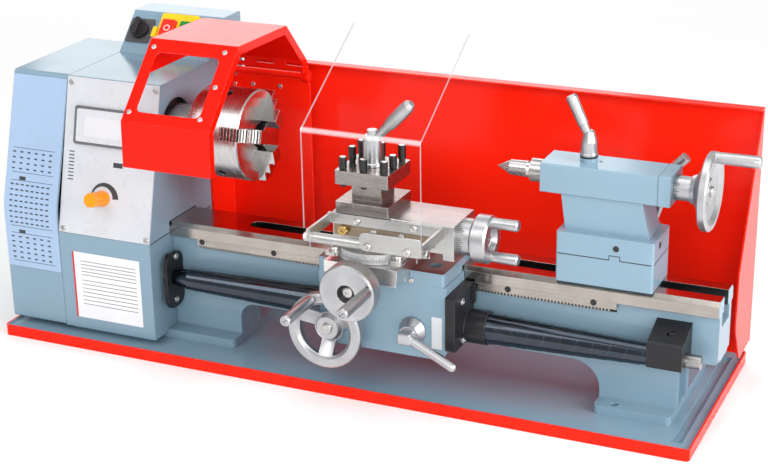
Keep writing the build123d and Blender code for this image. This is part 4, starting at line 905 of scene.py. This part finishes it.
# Cross slide, compound, top slide and toolpost: ground iron, left bare, with socket screws along their gibs.
# The swivel's bright scale is a strip bent round the front of its disc.
PIVOT, SWIVEL_R, SCALE_LIFT = np.array([0.069, -0.1105, 0.0]), 0.0458, (-0.0003, 0.0007)
SCALE_Z, SCALE_ENDS, SCALE_STEPS = (0.1792, 0.1899), (-128, -48), 41
SCALE_TICKS, SCALE_TICK_Z = np.arange(-124, -51, 2.0), 0.1812
SCALE_TICK_HALF, SCALE_TALL = 0.0002, (0.0036, 0.0062)
SLIDE_Y, BRACKET_Y = -0.141, -0.144
SWIVEL_SCREWS, SWIVEL_HEAD = [(0.0328, -0.149, 0.188), (0.109, -0.149, 0.188)], (0.0052, 0.0042)
BRACKET_SCREWS, BRACKET_HEAD = [(0.059, BRACKET_Y, 0.2225), (0.1263, BRACKET_Y, 0.223)], (0.0042, 0.0024)
SLIDE_SCREWS, SLIDE_HEAD = [(0.0778, SLIDE_Y, 0.2115), (0.1111, SLIDE_Y, 0.212)], (0.0036, 0.002)
GIB, GIB_AT = (0.120, 0.0125), (0.090, 0.2096)
NUT_AT = (0.0425, SLIDE_Y, 0.2105)
NUT_PROFILE = (
    (-0.0005, 0.0062, "hex"), (0.0052, 0.0062, "hex"), (0.006, 0.0052), (0.006, 0.0024), (0.0042, 0.0021),
)
POST, POST_SCREW, HIGH_TOP, LOW_TOP = np.array([0.065, -0.1125, 0.0]), 0.0243, 0.297, 0.2925
CROWN_PROFILE = ((-0.0002, 0.0034), (0.0002, 0.0034), (0.0003, 0.0030))
pale_slide = ground("pale_slide", (0.56, 0.555, 0.545), ALONG_X, (0.28, 0.42))
dress(ground("slide_iron", (0.34, 0.305, 0.285), ALONG_X), "toolpost")
dress(ground("cross_iron", (0.76, 0.735, 0.72), ALONG_X, (0.26, 0.4)), "cross_slide")
dress(pale_slide, "top_slide", "compound_base", "shield_bracket", "shield_rod")
sweep = np.radians(np.linspace(*SCALE_ENDS, SCALE_STEPS))
edges = []
for z, rises in ((SCALE_Z[0], SCALE_LIFT), (SCALE_Z[1], SCALE_LIFT[::-1])):
    for r in (SWIVEL_R + rise for rise in rises):
        edges.append(np.column_stack([r * np.cos(sweep), r * np.sin(sweep), np.full(SCALE_STEPS, z)]) + PIVOT)
satin_scale = printed("satin_scale", (0.60, 0.61, 0.62), 0.3)
fitted("swivel_scale", bar_shell(edges), satin_scale, "compound")
shells = []
for i, a in enumerate(np.radians(SCALE_TICKS)):
    out = np.array([math.cos(a), math.sin(a), 0])
    tall = SCALE_TALL[0 if i % LONG_EVERY else 1]
    mark = [(-SCALE_TICK_HALF, 0), (SCALE_TICK_HALF, 0), (SCALE_TICK_HALF, tall), (-SCALE_TICK_HALF, tall)]
    foot = PIVOT + (SWIVEL_R + SCALE_LIFT[1]) * out + (0, 0, SCALE_TICK_Z)
    shells.append(flat_plate(mark, foot, (-out[1], out[0], 0), UP, -0.0002, 0.00006))
fitted("swivel_ticks", joined(shells), ink, "compound")
screws("swivel_screws", "compound", SWIVEL_SCREWS, UP, SWIVEL_HEAD)
screws("bracket_screws", "top_slide", BRACKET_SCREWS, FRONT, BRACKET_HEAD)
screws("top_slide_gib_screws", "top_slide", SLIDE_SCREWS, FRONT, SLIDE_HEAD)
gib_iron = ground("gib_iron", (0.30, 0.235, 0.165), ALONG_X, (0.24, 0.36))
gib = front_plate(rounded(*GIB, 0.0004, GIB_AT), SLIDE_Y, -0.0002, 0.0003)
fitted("top_slide_gib", gib, gib_iron, "top_slide")
brass = ground("brass", (0.58, 0.40, 0.15), ALL_WAYS, (0.2, 0.32))
fitted("gib_lock_nut", turned(NUT_PROFILE, NUT_AT, FRONT, 48), brass, "top_slide")
dress(black_oxide_and_shade, "toolpost_screws")
crowns = []
for i, j in [(i, j) for i in (-1, 0, 1) for j in (-1, 0, 1) if i or j]:
    top = HIGH_TOP if j > 0 or (j == 0 and i < 0) else LOW_TOP
    crowns.append(turned(CROWN_PROFILE, POST + (POST_SCREW * i, POST_SCREW * j, top), UP, 24))
fitted("toolpost_screw_tops", joined(crowns), plated_steel, "toolpost")

# Tool shield: clear sheet bent over the toolpost, clamped to its rod by two cross-head screws.
# The heated bend carries a pale line across the sheet, a painted highlight.
SHEET_TOP, SHEET_BEND = np.array([0, 0.1364, 0.0823]), (0, -0.2008, 0.3405)
SHIELD_SCREWS, SHIELD_HEAD = [(0.099, -0.2033, 0.220), (0.144, -0.2033, 0.220)], (0.0045, 0.0028)
ROD_Y, ROD_Z, ROD_NUTS = -0.192, 0.2175, ((0.0238, -1), (0.1592, 1))
ROD_NUT_PROFILE = ((0.0, 0.0054, "hex"), (0.0036, 0.0054, "hex"), (0.0042, 0.0046), (0.0046, 0.0032))
sheet_end = tuple(SHEET_TOP / np.linalg.norm(SHEET_TOP))
sheet_ends = [(sheet_end, 0.9), ((0, 0, -1), 0.9)]
dress(clear_plastic("shield_plastic", sheet_sides + sheet_ends, SHEET_BEND), "tool_shield")
screws("shield_screws", "shield", SHIELD_SCREWS, FRONT, SHIELD_HEAD, "star")
rod_nuts = [turned(ROD_NUT_PROFILE, (x, ROD_Y, ROD_Z), (side, 0, 0)) for x, side in ROD_NUTS]
fitted("shield_rod_nuts", joined(rod_nuts), plated_steel, "shield")

# Tailstock: painted iron with a ground quill and a hardened centre, an oil hole on top and set screws in its
# foot. A cap closes the barrel's rear end, and a dark seam with a key shows where the body sits on the foot.
TAIL_FACE_Y, TAIL_END_X = -0.067, 0.370
SET_SCREW, SET_HEAD = (0.3285, TAIL_FACE_Y, 0.2015), (0.0034, 0.0007)
END_BOLT, END_HEAD = (TAIL_END_X, -0.0431, 0.2035), (0.0034, 0.0008)
OIL_HOLE_AT, OIL_HOLE_PROFILE = (0.2990, -0.0335, 0.286), ((-0.0003, 0.0017), (0.0002, 0.0017))
SEAT_AT, SEAT_PROFILE = (0.286, SPIN_Y, 0.2923), ((-0.0012, 0.0098), (0.0001, 0.0098), (0.00015, 0.0094))
BARREL_AT, CAP_SIZE, CAP_X = (-0.036, 0.2695), (0.0486, 0.0336), (0.3697, 0.3828)
CAP_SEAM_SIZE, CAP_SEAM_X = (0.0485, 0.0335), (0.3690, 0.3700)
FOOT_Z, FOOT_SEAM, KEY_X, KEY_Z, KEY_SEAM = 0.188, 0.0011, (0.321, 0.333), 0.193, 0.0008
TAIL_X, TAIL_Y = (0.263, 0.368), (-0.065, -0.006)
tail_enamel = enamel("tail_enamel", (0.238, 0.358, 0.446), 0.4)
dress(tail_enamel, "tailstock_base", "tailstock_body")
quill_steel = ground("quill_steel", (0.60, 0.58, 0.575), (700, 40, 40), (0.2, 0.3), 0.000004)
dress(quill_steel, "tailstock_quill", "dead_centre")
dark = {"finish": black_oxide_and_shade, "slot": "dark_steel"}
screws("tail_set_screw", "tailstock", [SET_SCREW], FRONT, SET_HEAD, **dark)
screws("tail_end_bolt", "tailstock", [END_BOLT], EAST, END_HEAD, **dark)
fitted("tail_oil_hole", turned(OIL_HOLE_PROFILE, OIL_HOLE_AT, UP), black_oxide_and_shade, "tailstock")
fitted("lever_seat", turned(SEAT_PROFILE, SEAT_AT, UP, 48), black_oxide_and_shade, "tailstock")
cap = side_plate(rounded(*CAP_SIZE, 0.0018, BARREL_AT), 0, *CAP_X)
fitted("barrel_cap", cap, tail_enamel, "tailstock")
cap_shade = printed("cap_shade", (0.10, 0.145, 0.18), 0.6)
cap_seam = side_plate(rounded(*CAP_SEAM_SIZE, 0.0018, BARREL_AT), 0, *CAP_SEAM_X)
fitted("barrel_cap_seam", cap_seam, cap_shade, "tailstock")
gaps = [
    ((TAIL_X[0] + KEY_X[0]) / 2, FOOT_Z, KEY_X[0] - TAIL_X[0], FOOT_SEAM),
    ((KEY_X[1] + TAIL_X[1]) / 2, FOOT_Z, TAIL_X[1] - KEY_X[1], FOOT_SEAM),
    (np.mean(KEY_X), KEY_Z, KEY_X[1] - KEY_X[0] + 0.001, KEY_SEAM),
]
gaps += [(x, (FOOT_Z + KEY_Z) / 2, KEY_SEAM, KEY_Z - FOOT_Z) for x in KEY_X]
shells = []
for x, z, width, height in gaps:
    shells.append(front_plate(rounded(width, height, 0.0003, (x, z)), TAIL_FACE_Y, *SEAM_LIFT))
gap = rounded(TAIL_Y[1] - TAIL_Y[0], FOOT_SEAM, 0.0003, (np.mean(TAIL_Y), FOOT_Z))
shells.append(side_plate(gap, TAIL_END_X, *SEAM_LIFT))
fitted("tail_seams", joined(shells), ink, "tailstock")
